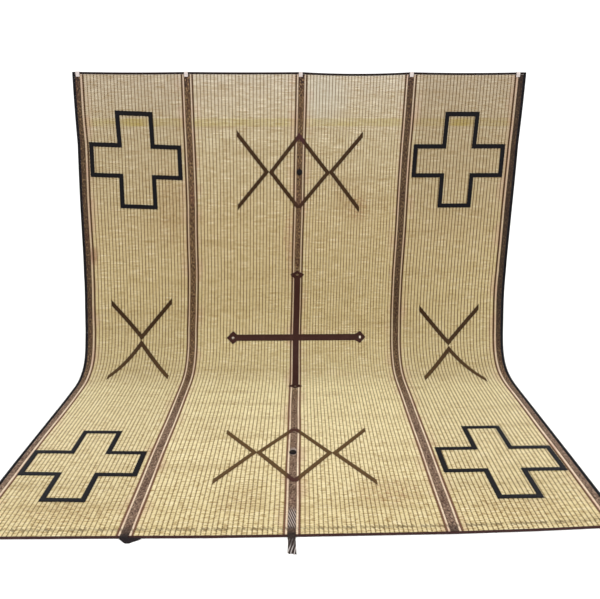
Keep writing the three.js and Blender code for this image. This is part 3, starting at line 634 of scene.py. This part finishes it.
# Woven bands
# Five bands of brown thongs twined in twill over the reeds, down the whole length. The centre one stops in a
# point above and below the cross. Two of them pass the bottom edge: one in a frayed end, one folded under.
BAND_WIDTH = 0.031
EDGE_BAND_WIDTH = 0.025
BAND_THICKNESS = 0.0017
BAND_SEAT = VALLEY + PIECE_GAP
BAND_STEP = 0.008
BAND_END_MARGIN = 0.001
POINT_HALF = 0.0015
HEM_LEAD = 0.015
FRAY_REACH = 0.03
UPPER_POINT = {"full": 1.05, "tip": 1.082}
LOWER_POINT = {"tip": 1.914, "full": 1.944}


def strip_section(thickness):
    """Columns across a strip: place in half widths, height of its top and height of its underside."""
    return np.array([
        (-1.0, 0.55, 0.3), (-0.96, 0.85, 0.05), (-0.86, 1.0, 0.0), (-0.45, 1.08, 0.0), (0.0, 1.12, 0.0),
        (0.45, 1.08, 0.0), (0.86, 1.0, 0.0), (0.96, 0.85, 0.05), (1.0, 0.55, 0.3),
    ]) * np.array([1.0, thickness, thickness])


def strap(name, rows, thickness, ring=False, scallop=0.0, cuts=(), ends=None):
    """A strip of leather through rows of middle (u, s), side vector (du, ds), seat height and place along it.
    Each cut, as (axis, place, side), trims what is beyond it. ends draws its columns out at the last rows."""
    section = strip_section(thickness)
    middle, side, seat, along = (np.array(x) for x in zip(*rows))
    edge = 1 - scallop * (1 - np.cos(2 * np.pi * along / LACE_PITCH)) / 2
    across = section[:, 0][None, :] * edge[:, None]
    plan = middle[:, None, :] + side[:, None, :] * across[..., None]
    if ends is not None:
        plan[..., 1] += np.array(ends) * smooth((along[:, None] - along[-1] + FRAY_REACH) / FRAY_REACH)
    for axis, cut, kept in cuts:
        stop = cut + kept * PIECE_GAP / 2
        plan[..., axis] = kept * np.maximum(kept * plan[..., axis], kept * stop)
    top = np.concatenate([plan * [1, -1], (seat[:, None] + section[:, 1])[..., None]], axis=-1)
    bottom = np.concatenate([plan * [1, -1], (seat[:, None] + section[:, 2])[..., None]], axis=-1)
    half = np.linalg.norm(side, axis=1)[:, None]
    weave = np.stack([np.broadcast_to(along[:, None], across.shape), across * half], axis=-1)
    return skin(name, top, bottom, ring=ring, weave=weave)


def straight(u, half, start, end, seat=BAND_SEAT):
    return [((u, s), (half, 0.0), seat, s) for s in stations(start, end, BAND_STEP)]


BAND_CLIP_SHADOW = "#2b1513"
BAND_DARK = "#3a2613"
BAND_LIGHT = "#957653"
BAND_LIGHT_LAID_LIT = "#a38b76"
BAND_RED = "#4c2422"
BAND_RUSSET = "#3a1d10"
BAND_LAID_LIT = "#604738"
BAND_SHADE = "#1b0f08"
BAND_HEM_DARK = "#150b0f"
BAND_FRAY = "#cbc3c0"
TWILL_PITCH = 0.0078
THREAD_PITCH = 0.0028
BARE_PITCH = 0.0088
STRAND_PITCH = 0.0115
BAND_RELIEF = 0.0009
STUD_RING = ((0.001, 2.532), (0.03, 0.036))


def band_finish():
    finish = Finish("twined_bands", 0.7)
    finish.shader.inputs["Specular IOR Level"].default_value = 0.25
    along, across = finish.place("weave")
    u, s = finish.place("plan")
    bend = finish.times(finish.noise(u, s, 30.0, 25.0, 2.0), 0.004)
    slant = finish.maths("ADD", finish.times(across, 0.75), bend)
    twill = finish.wave(finish.maths("ADD", along, slant), TWILL_PITCH)
    thread = finish.wave(across, THREAD_PITCH)
    specks = finish.noise(along, across, 330.0, 420.0, 2.0)
    # Painted light: the bands take a lighter copy of their colours where they lie on the floor.
    base = finish.mix(finish.between(s, 1.5, 2.3), colour(BAND_DARK), colour(BAND_LAID_LIT))
    # Painted shadow: the bands are darker maroon near the top, below the clips.
    base = finish.tint(base, BAND_CLIP_SHADOW, finish.between(s, 0.12, 0.02))
    red = finish.between(finish.noise(u, s, 9.0, 5.0, 2.0, z=6.0), 0.56, 0.7)
    base = finish.tint(base, BAND_RED, red, 0.6)
    # Painted light: the pale twill tone is also a lighter copy where the bands lie on the floor.
    worn_tint = finish.mix(finish.between(s, 1.5, 2.3), colour(BAND_LIGHT), colour(BAND_LIGHT_LAID_LIT))
    light = finish.times(finish.between(twill, 0.3, 0.8), finish.between(specks, 0.38, 0.6))
    # Painted shadow: fewer pale threads show near the top, below the clips.
    lit = finish.maths("MULTIPLY_ADD", finish.between(s, 0.0, 0.15), 0.55, 0.2)
    base = finish.mix(finish.times(light, lit), base, worn_tint)
    rubbed = finish.noise(u, s, 125.0, 90.0, 2.0, z=3.0)
    base = finish.mix(finish.times(finish.between(rubbed, 0.5, 0.68), 0.8), base, worn_tint)
    base = finish.tint(base, BAND_SHADE, finish.between(rubbed, 0.48, 0.32), 0.8)
    russet = finish.between(finish.noise(u, s, 30.0, 13.0, 3.0, z=12.0), 0.5, 0.62)
    base = finish.tint(base, BAND_RUSSET, russet, 0.4)
    sideways = finish.maths("ABSOLUTE", u)
    darker = finish.times(finish.between(sideways, 1.1, 1.2), 0.35)
    darker = finish.maths("MULTIPLY_ADD", finish.between(u, 0.4, 0.6), 0.36, darker)
    base = finish.tint(base, BAND_SHADE, darker, finish.between(s, 1.9, 1.3))

    # The centre band shows its twill bare near the hem. All of them are darker at the hem and past it, and
    # the frayed end has pale loose strands.
    middle_band = finish.between(sideways, 0.2, 0.1)
    bare = finish.times(finish.between(s, 2.9, 2.95), finish.between(s, 3.04, 3.015), middle_band)
    diagonal = finish.wave(finish.maths("MULTIPLY_ADD", along, -0.35, across), BARE_PITCH)
    base = finish.tint(base, BAND_FRAY, finish.between(diagonal, 0.55, 0.85), 0.55, bare)
    base = finish.tint(base, BAND_SHADE, finish.between(diagonal, 0.55, 0.2), 0.85, bare)
    near_hem = finish.times(finish.between(s, 3.0, 3.035), 0.55)
    past_hem = finish.maths("MULTIPLY_ADD", finish.between(s, 3.05, 3.06), 0.35, near_hem)
    base = finish.tint(base, BAND_HEM_DARK, past_hem)
    base = finish.tint(base, BAND_FRAY, finish.patch(u, s, *STUD_RING), 0.35)
    base = finish.tint(base, BAND_HEM_DARK, finish.between(u, -0.5, -0.55), finish.between(s, 3.066, 3.072))
    slanted = finish.maths("MULTIPLY_ADD", along, 0.3, across)
    slanted = finish.maths("MULTIPLY_ADD", finish.noise(u, s, 60.0, 30.0, 2.0), 0.006, slanted)
    strand = finish.between(finish.wave(slanted, STRAND_PITCH), 0.5, 0.9)
    frayed = finish.maths("MULTIPLY_ADD", finish.between(s, 3.1, 3.135), 0.6, 0.12)
    base = finish.tint(base, BAND_FRAY, frayed, finish.between(s, 3.078, 3.085), middle_band, strand)
    finish.relief(finish.maths("ADD", twill, finish.times(thread, 0.4)), BAND_RELIEF)
    return finish.done(base)


twined = band_finish()
band_pieces = {}
for side in ("left_edge", "right_edge", "right"):
    u = BAND_PLACES[side]
    half = (BAND_WIDTH if side == "right" else EDGE_BAND_WIDTH) / 2
    rows = straight(u, half, BAND_END_MARGIN, length_at(u) - BAND_END_MARGIN)
    band_pieces[side] = strap(f"twined_band_{side}", rows, BAND_THICKNESS)

centre = BAND_PLACES["centre"]
rows = straight(centre, BAND_WIDTH / 2, BAND_END_MARGIN, UPPER_POINT["full"])
rows.append(((centre, UPPER_POINT["tip"]), (POINT_HALF, 0.0), BAND_SEAT, UPPER_POINT["tip"]))
band_pieces["centre_upper"] = strap("twined_band_centre_upper", rows, BAND_THICKNESS)

TAIL_RISE = 0.0033
TAIL_ROWS = 34
TAIL_FROM = -0.012
CLIMB_FROM = -0.011
CLIMB_LENGTH = 0.008
TAIL_SEAT = 0.0002
PAST_BINDING = BINDING_WIDTH + 0.002
CENTRE_TAIL = [(0.023, 0.001, 0.0145), (0.05, 0.002, 0.0145), (0.089, 0.003, 0.0165)]
LEFT_TAIL = [
    (0.0155, 0.0275, 0.0435), (0.022, 0.0235, 0.0295), (0.03, 0.0195, 0.017), (0.0355, 0.0195, 0.008),
]
TAIL_LANDS = 0.0225
FRAY = [0.0, 0.003, 0.001, 0.006, 0.003, 0.008, 0.006, 0.011, 0.009]


def over_hem(u, half, tail):
    """The rows of a band that runs over the bottom binding and down onto the floor. Its tail is given as
    places past the hem, each with its shift to the side and half its width."""
    edge = length_at(u)
    pasts, shifts, halves = zip((PAST_BINDING, 0.0, half), *tail)
    rows = []
    for past in np.linspace(TAIL_FROM, pasts[-1], TAIL_ROWS):
        climb = smooth((past - CLIMB_FROM) / CLIMB_LENGTH)
        fall = smooth((past - pasts[0]) / (TAIL_LANDS - pasts[0]))
        seat = BAND_SEAT + TAIL_RISE * climb * (1 - fall) - (BAND_SEAT - TAIL_SEAT) * fall
        side = (np.interp(past, pasts, halves), 0.0)
        rows.append(((u + np.interp(past, pasts, shifts), edge + past), side, seat, edge + past))
    return rows


rows = straight(centre, BAND_WIDTH / 2, LOWER_POINT["full"], length_at(centre) - HEM_LEAD)
rows.insert(0, ((centre, LOWER_POINT["tip"]), (POINT_HALF, 0.0), BAND_SEAT, LOWER_POINT["tip"]))
rows += over_hem(centre, BAND_WIDTH / 2, CENTRE_TAIL)
band_pieces["centre_lower"] = strap("twined_band_centre_lower", rows, BAND_THICKNESS, ends=FRAY)

left = BAND_PLACES["left"]
rows = straight(left, BAND_WIDTH / 2, BAND_END_MARGIN, length_at(left) - HEM_LEAD)
rows += over_hem(left, BAND_WIDTH / 2, LEFT_TAIL)
band_pieces["left"] = strap("twined_band_left", rows, BAND_THICKNESS)

for name, piece in band_pieces.items():
    hang(piece)
    fit(piece, twined, f"band_{name}")

# Thong lines
# A thin dark red thong down both sides of each band, with one pale rib between it and the band. It is twined
# over and under the stems like the rows beside it, so that it stands up in small even beads.
THONG_WIDTH = 0.006
THONG_THICKNESS = 0.0015
BEAD_STEP = 0.0021
BEAD_SWELL = 0.14
THONGS = {
    "left_edge": ("left_edge", 1), "left_outer": ("left", -1), "left_inner": ("left", 1),
    "centre_left": ("centre", -1), "centre_right": ("centre", 1),
    "right_inner": ("right", -1), "right_outer": ("right", 1), "right_edge": ("right_edge", -1),
}
thong_leather = leather_finish(
    "thong_leather", dark="#3d2516", light="#6b4a36", laid="#6c4a39", stitch=THONG_DASH
)
for name, (band, sign) in THONGS.items():
    u = BAND_PLACES[band] + sign * THONG_OFFSET
    rows = []
    for s in stations(BAND_END_MARGIN, length_at(u) - BAND_END_MARGIN, BEAD_STEP):
        half = THONG_WIDTH / 2 * (1 - BEAD_SWELL + BEAD_SWELL * math.cos(2 * math.pi * s / THONG_DASH))
        rows.append(((u, s), (half, 0.0), BAND_SEAT, s))
    thong = strap(f"twined_thong_{name}", rows, THONG_THICKNESS)
    hang(thong)
    fit(thong, thong_leather, f"thong_{name}")

# Leather motifs
# Strips of goat leather laced flat over the reeds: black ones folded round as a plus in each corner, brown
# ones crossed in the outer panels and laid as diamonds and chevrons over the centre band.
STRIP_SEAT = 0.0051
STRIP_THICKNESS = 0.0016
STRIP_STEP = 0.0024
SCALLOP = 0.1
PLUS_STRIP = 0.025
THIN_STRIP = 0.025
DIAMOND_STRIP = 0.0225
PLUSES = {
    "upper_left": {
        "u": -0.92, "s": 0.45, "reach": 0.26, "rise": 0.2645, "upright": 0.105, "arm": 0.095,
        "lean": 0.011, "tilt": 0.039, "aside": -0.005,
    },
    "upper_right": {
        "u": 0.914, "s": 0.451, "reach": 0.2595, "rise": 0.262, "upright": 0.0965, "arm": 0.0915,
        "lean": -0.005, "tilt": 0, "aside": 0.0015,
    },
    "lower_left": {
        "u": -0.928, "s": 2.609, "reach": 0.2635, "rise": 0.263, "upright": 0.0965, "arm": 0.094,
        "lean": 0.006, "tilt": 0.024, "aside": -0.003,
    },
    "lower_right": {
        "u": 0.92, "s": 2.597, "reach": 0.265, "rise": 0.275, "upright": 0.094, "arm": 0.0965,
        "lean": 0.006, "tilt": -0.01, "aside": 0,
    },
}
CROSSED = {
    "left_upper": {"line": [(-1.096, 1.277), (-0.9225, 1.4935), (-0.7445, 1.2695)], "meet": 1.512},
    "left_lower": {"line": [(-1.087, 1.782), (-0.922, 1.532), (-0.733, 1.788)], "meet": 1.512},
    "right_upper": {"line": [(0.7525, 1.3245), (0.9285, 1.541), (1.104, 1.319)], "meet": 1.5615},
    "right_lower": {"line": [(0.753, 1.818), (0.93, 1.5835), (1.103, 1.833)], "meet": 1.5615},
}
DIAMONDS = {
    "upper": [(-0.002, 0.3145), (0.168, 0.5145), (0.009, 0.704), (-0.005, 0.704), (-0.1585, 0.511)],
    "lower": [
        (-0.0045, 2.348), (0.0145, 2.348), (0.17, 2.545), (0.018, 2.742), (0.004, 2.742), (-0.1555, 2.539),
    ],
}
CHEVRONS = {
    "upper_left": {"line": [(-0.352, 0.302), (-0.1835, 0.509), (-0.351, 0.7075)], "meet": -0.171},
    "upper_right": {"line": [(0.361, 0.308), (0.1865, 0.511), (0.36, 0.722)], "meet": 0.177},
    "lower_left": {"line": [(-0.323, 2.362), (-0.175, 2.538), (-0.3355, 2.749)], "meet": -0.165},
    "lower_right": {"line": [(0.3505, 2.35), (0.1925, 2.5465), (0.3585, 2.7615)], "meet": 0.181},
}


def plus_corners(plus):
    """The twelve corners of a plus, along the middle of its strip."""
    inset = PLUS_STRIP / 2
    reach, h, w, a = (plus[key] - inset for key in ("reach", "rise", "upright", "arm"))
    right, left = plus["aside"] + reach, plus["aside"] - reach
    corners = [(-w, -h), (w, -h), (w, -a), (right, -a), (right, a), (w, a),
               (w, h), (-w, h), (-w, a), (left, a), (left, -a), (-w, -a)]
    return [(plus["u"] + x + plus["lean"] * y, plus["s"] + y + plus["tilt"] * x) for x, y in corners]


def mitred(line, width, closed):
    """Rows of a strip along a line of corners, mitred at each corner, its loose ends cut along the ribs."""
    line = [Vector(p) for p in line]
    count = len(line)
    sides = []
    for i, p in enumerate(line):
        into = (p - line[i - 1]).normalized() if closed or i else (line[1] - p).normalized()
        away = (line[(i + 1) % count] - p).normalized() if closed or i + 1 < count else into
        is_end = not closed and i in (0, count - 1)
        normal = Vector((0, 1)) if is_end else Vector((-into.y - away.y, into.x + away.x))
        sides.append(normal * (width / 2 / normal.dot(Vector((-into.y, into.x)))))
    rows = []
    along = 0.0
    for i in range(count if closed else count - 1):
        j = (i + 1) % count
        span = (line[j] - line[i]).length
        steps = max(1, round(span / STRIP_STEP))
        for k in range(steps):
            t = k / steps
            middle, side = line[i].lerp(line[j], t), sides[i].lerp(sides[j], t)
            rows.append((tuple(middle), tuple(side), STRIP_SEAT, along + t * span))
        along += span
    if not closed:
        rows.append((tuple(line[-1]), tuple(sides[-1]), STRIP_SEAT, along))
    return rows, along


brown_leather = leather_finish(
    "brown_leather", dark="#35220f", light="#57422b", laid="#564128", middle="#402223"
)


def lay_strip(name, node, line, width, closed, material, cuts=()):
    rows, length = mitred(line, width, closed)
    piece = strap(name, rows, STRIP_THICKNESS, ring=closed, scallop=SCALLOP, cuts=cuts)
    hang(piece)
    fit(piece, material, node)


for corner, plus in PLUSES.items():
    lay_strip(f"plus_strip_{corner}", f"plus_{corner}", plus_corners(plus), PLUS_STRIP, True, black_leather)
for name, strip in CROSSED.items():
    cut = (1, strip["meet"], math.copysign(1, strip["line"][1][1] - strip["meet"]))
    lay_strip(f"crossed_strip_{name}", f"crossed_{name}", strip["line"], THIN_STRIP, False, brown_leather,
              [cut])
for name, line in DIAMONDS.items():
    cuts = [(0, CHEVRONS[f"{name}_left"]["meet"], 1), (0, CHEVRONS[f"{name}_right"]["meet"], -1)]
    lay_strip(f"diamond_strip_{name}", f"diamond_{name}", line, DIAMOND_STRIP, True, brown_leather,
              cuts)
for name, strip in CHEVRONS.items():
    cut = (0, strip["meet"], math.copysign(1, strip["line"][1][0] - strip["meet"]))
    lay_strip(f"chevron_strip_{name}", f"chevron_{name}", strip["line"], DIAMOND_STRIP, False, brown_leather,
              [cut])

# The cross
# One piece of wine red leather over the middle of the mat: four straight bars, each ending in a diamond
# pierced by a small diamond hole. It is cut in one from the flat hide and laced down like the strips.
CROSS_CENTRE = (0.0045, 1.502)
BAR_HALF_UPRIGHT = 0.018
BAR_HALF_ACROSS = 0.0195
FINIALS = [
    {"way": (0, -1), "join": 0.372, "widest": 0.393, "tip": 0.418, "half": 0.043},
    {"way": (0, 1), "join": 0.37, "widest": 0.389, "tip": 0.411, "half": 0.04},
    {"way": (-1, 0), "join": 0.354, "widest": 0.379, "tip": 0.417, "half": 0.042},
    {"way": (1, 0), "join": 0.362, "widest": 0.391, "tip": 0.425, "half": 0.038},
]
HOLE_ALONG = 0.008
HOLE_ACROSS = 0.011
CROSS_STEP = 0.02
CROSS_CUTS = 3
CROSS_THICKNESS = STRIP_THICKNESS * 1.1
CROSS_RIM = 0.0005


def cross_cells():
    """The cross as flat cells of four corners: the middle, the bars in short lengths, and the diamonds."""
    b, a = BAR_HALF_UPRIGHT, BAR_HALF_ACROSS
    cells = [[(-b, -a), (b, -a), (b, a), (-b, a)]]
    for finial in FINIALS:
        way = Vector(finial["way"])
        wide = Vector((way.y, -way.x))
        bar = b if way.y else a
        start = a if way.y else b
        marks = stations(start, finial["join"], CROSS_STEP)

        def at(out, over):
            return tuple(way * out + wide * over)

        for near, far in zip(marks, marks[1:]):
            cells.append([at(near, -bar), at(near, bar), at(far, bar), at(far, -bar)])
        widest, tip, half = finial["widest"], finial["tip"], finial["half"]
        inner, outer = at(widest - HOLE_ALONG, 0), at(widest + HOLE_ALONG, 0)
        for sign in (-1, 1):
            hole = at(widest, sign * HOLE_ACROSS)
            corner = at(widest, sign * half)
            middle = at(finial["join"], 0)
            cells.append([middle, at(finial["join"], sign * bar), corner, hole])
            cells.append([middle, hole, inner, inner])
            cells.append([corner, at(tip, 0), outer, hole])
    return cells


def cross_piece():
    points = []
    faces = []
    for cell in cross_cells():
        corners = list(dict.fromkeys(cell))
        faces.append(list(range(len(points), len(points) + len(corners))))
        points.extend((CROSS_CENTRE[0] + x, -CROSS_CENTRE[1] - y, STRIP_SEAT) for x, y in corners)
    mesh = bpy.data.meshes.new("cross_leather")
    mesh.from_pydata(points, [], faces)
    piece = bpy.data.objects.new("cross_leather", mesh)
    bpy.context.collection.objects.link(piece)
    lone(piece)
    bpy.ops.object.mode_set(mode="EDIT")
    bpy.ops.mesh.select_all(action="SELECT")
    bpy.ops.mesh.remove_doubles(threshold=0.0001)
    bpy.ops.mesh.subdivide(number_cuts=CROSS_CUTS)
    bpy.ops.mesh.normals_make_consistent(inside=False)
    bpy.ops.object.mode_set(mode="OBJECT")
    if sum(face.normal.z * face.area for face in piece.data.polygons) < 0:
        piece.data.flip_normals()
    thick = piece.modifiers.new("thick", "SOLIDIFY")
    thick.thickness = CROSS_THICKNESS
    thick.offset = 1.0
    bpy.ops.object.modifier_apply(modifier="thick")
    rim = piece.modifiers.new("rim", "BEVEL")
    rim.width = CROSS_RIM
    rim.segments = 2
    rim.limit_method = "ANGLE"
    rim.angle_limit = math.radians(60)
    bpy.ops.object.modifier_apply(modifier="rim")
    return piece


def map_flat(piece):
    """The map called weave of a piece that has no length of its own: its place in the flat."""
    flat = np.array([vertex.co for vertex in piece.data.vertices])
    corners = np.array([loop.vertex_index for loop in piece.data.loops])
    while piece.data.uv_layers:
        piece.data.uv_layers.remove(piece.data.uv_layers[0])
    layer = piece.data.uv_layers.new(name="weave")
    layer.data.foreach_set("uv", flat[corners][:, :2].ravel())


cross = cross_piece()
map_flat(cross)
hang(cross)
fit(cross, wine_leather, "cross")

# Studs
# A round button of dark leather with a dimple in its crown, sewn to the centre band in the middle of each
# diamond. Each starts as a ball, of which the lower part is pressed flat onto the band.
STUD_RADIUS = 0.017
STUD_HEIGHT = 0.008
STUD_WALL = 0.18
DIMPLE = 0.22
DIMPLE_REACH = 0.3
CUT_BELOW = -0.2
STUDS = {"upper": (0.004, 0.511), "lower": (0.001, 2.541)}
stud_leather = leather_finish(
    "stud_leather", dark="#0b0708", light="#2b2226", laid="#110b0e", roughness=0.45
)
for name, (u, s) in STUDS.items():
    bpy.ops.object.select_all(action="DESELECT")
    bpy.ops.mesh.primitive_uv_sphere_add(segments=40, ring_count=20, radius=STUD_RADIUS, location=(0, 0, 0))
    stud = bpy.context.active_object
    stud.name = stud.data.name = f"button_{name}"
    for vertex in stud.data.vertices:
        out = math.hypot(vertex.co.x, vertex.co.y) / STUD_RADIUS
        height = vertex.co.z / STUD_RADIUS
        dimple = DIMPLE * math.exp(-((out / DIMPLE_REACH) ** 2)) if height > 0 else 0
        share = max(0.0, STUD_WALL + (1 - STUD_WALL) * height - dimple)
        vertex.co.z = STUD_HEIGHT * share if height > CUT_BELOW else 0.0
        vertex.co.x += u
        vertex.co.y -= s
        vertex.co.z += STRIP_SEAT
    map_flat(stud)
    hang(stud)
    fit(stud, stud_leather, f"stud_{name}")

# Clips
# Five small pale clips that hold the mat up at its bands. Each is one thin plate folded over the top edge:
# it goes up the back, over the binding, and comes down in front until it bites on the band.
CLIP_PLATE = 0.0012
CLIP_CLEAR = 0.0004
CLIP_EDGE = 0.0004
CLIP_SHOULDER = -0.001
CLIP_BITE = -0.004
CLIP_RELIEF = 0.0002
CLIP_DARK = "#b9adaa"
CLIP_LIGHT = "#cbc1bd"


def clip_finish():
    finish = Finish("clip_plate", 0.42)
    where = finish.add("ShaderNodeTexCoord").outputs["Object"]
    cloud = finish.add("ShaderNodeTexNoise", {"Vector": where, "Scale": 90.0, "Detail": 3.0}).outputs["Fac"]
    scuff = finish.add("ShaderNodeTexNoise", {"Vector": where, "Scale": 600.0, "Detail": 2.0}).outputs["Fac"]
    base = finish.mix(finish.between(cloud, 0.3, 0.7), colour(CLIP_DARK), colour(CLIP_LIGHT))
    finish.relief(scuff, CLIP_RELIEF)
    return finish.done(base)


clip_plate = clip_finish()
for i in range(1, 6):
    low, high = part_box(f"clip_{i}")
    bpy.ops.object.select_all(action="DESELECT")
    back_y = CLIP_CLEAR
    crown_z = high.z - CLIP_PLATE
    front_y = -(BINDING_HEIGHT + CLIP_CLEAR)
    bite_y = -(BAND_SEAT + BAND_THICKNESS + CLIP_CLEAR)
    profile = [
        (back_y, low.z), (back_y, crown_z), (front_y, crown_z),
        (front_y, CLIP_SHOULDER), (bite_y, CLIP_BITE), (bite_y, low.z),
    ]
    bpy.ops.mesh.primitive_plane_add(size=1, location=(0, 0, 0))
    clip = bpy.context.active_object
    clip.name = clip.data.name = f"clip_plate_{i}"
    start = [(low.x, *profile[0]), (high.x, *profile[0]), (low.x, *profile[1]), (high.x, *profile[1])]
    for vertex, place in zip(clip.data.vertices, start):
        vertex.co = place
    bpy.ops.object.mode_set(mode="EDIT")
    for here, there in zip(profile[1:], profile[2:]):
        bpy.ops.mesh.select_all(action="DESELECT")
        bpy.ops.object.mode_set(mode="OBJECT")
        for vertex in clip.data.vertices:
            vertex.select = abs(vertex.co.y - here[0]) < 1e-6 and abs(vertex.co.z - here[1]) < 1e-6
        bpy.ops.object.mode_set(mode="EDIT")
        bpy.ops.mesh.select_mode(type="VERT")
        move = (0, there[0] - here[0], there[1] - here[1])
        bpy.ops.mesh.extrude_region_move(TRANSFORM_OT_translate={"value": move})
    bpy.ops.mesh.select_all(action="SELECT")
    bpy.ops.mesh.normals_make_consistent(inside=False)
    bpy.ops.object.mode_set(mode="OBJECT")
    if clip.data.polygons[0].normal.y < 0:
        clip.data.flip_normals()
    plate = clip.modifiers.new("plate", "SOLIDIFY")
    plate.thickness = CLIP_PLATE
    plate.offset = 1.0
    plate.use_even_offset = True
    bpy.ops.object.modifier_apply(modifier="plate")
    rounded = clip.modifiers.new("rounded", "BEVEL")
    rounded.width = CLIP_EDGE
    rounded.segments = 3
    rounded.limit_method = "ANGLE"
    bpy.ops.object.modifier_apply(modifier="rounded")
    face_outwards(clip, 35)
    clip.data.materials.clear()
    clip.data.materials.append(clip_plate)
    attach(clip, "root")
    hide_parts(f"clip_{i}")

# Floor, light and camera
# A plain pale floor under the laid part, even light from all round with one soft lamp above, and a camera
# held low in front of the mat, a little to the left and tilted down.
FLOOR_SIZE = 30
FLOOR_DROP = 0.0002
bpy.ops.object.select_all(action="DESELECT")
bpy.ops.mesh.primitive_plane_add(size=FLOOR_SIZE, location=(0, 0, FLOOR - FLOOR_DROP))
floor = bpy.context.active_object
floor.name = "floor"
ground = Finish("pale_floor", 0.9)
floor.data.materials.append(ground.done(colour("#fdfdfc")))
floor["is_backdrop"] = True

world = bpy.data.worlds.new("studio")
world.use_nodes = True
world.node_tree.nodes["Background"].inputs["Color"].default_value = (1.0, 1.0, 1.0, 1.0)
world.node_tree.nodes["Background"].inputs["Strength"].default_value = 1.22
bpy.context.scene.world = world

LAMP_PLACE = (0.3, -2.2, 2.6)
LAMP_AIM = (0, -0.9, FLOOR)
bpy.ops.object.light_add(type="AREA", location=LAMP_PLACE)
lamp = bpy.context.active_object
lamp.name = "overhead"
lamp.data.size = 3.0
lamp.data.energy = 55
lamp.rotation_euler = (Vector(LAMP_AIM) - Vector(LAMP_PLACE)).to_track_quat("-Z", "Y").to_euler()

CAMERA_PLACE = (-0.0727, -3.2726, -0.1483)
CAMERA_PITCH = 18.86
CAMERA_YAW = 1.178
CAMERA_LENS = 34.378
bpy.ops.object.camera_add(location=CAMERA_PLACE)
camera = bpy.context.active_object
camera.rotation_euler = (math.radians(90 - CAMERA_PITCH), 0, math.radians(-CAMERA_YAW))
camera.data.lens = CAMERA_LENS
bpy.context.scene.camera = camera
bpy.context.scene.view_settings.view_transform = "Standard"

low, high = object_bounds()
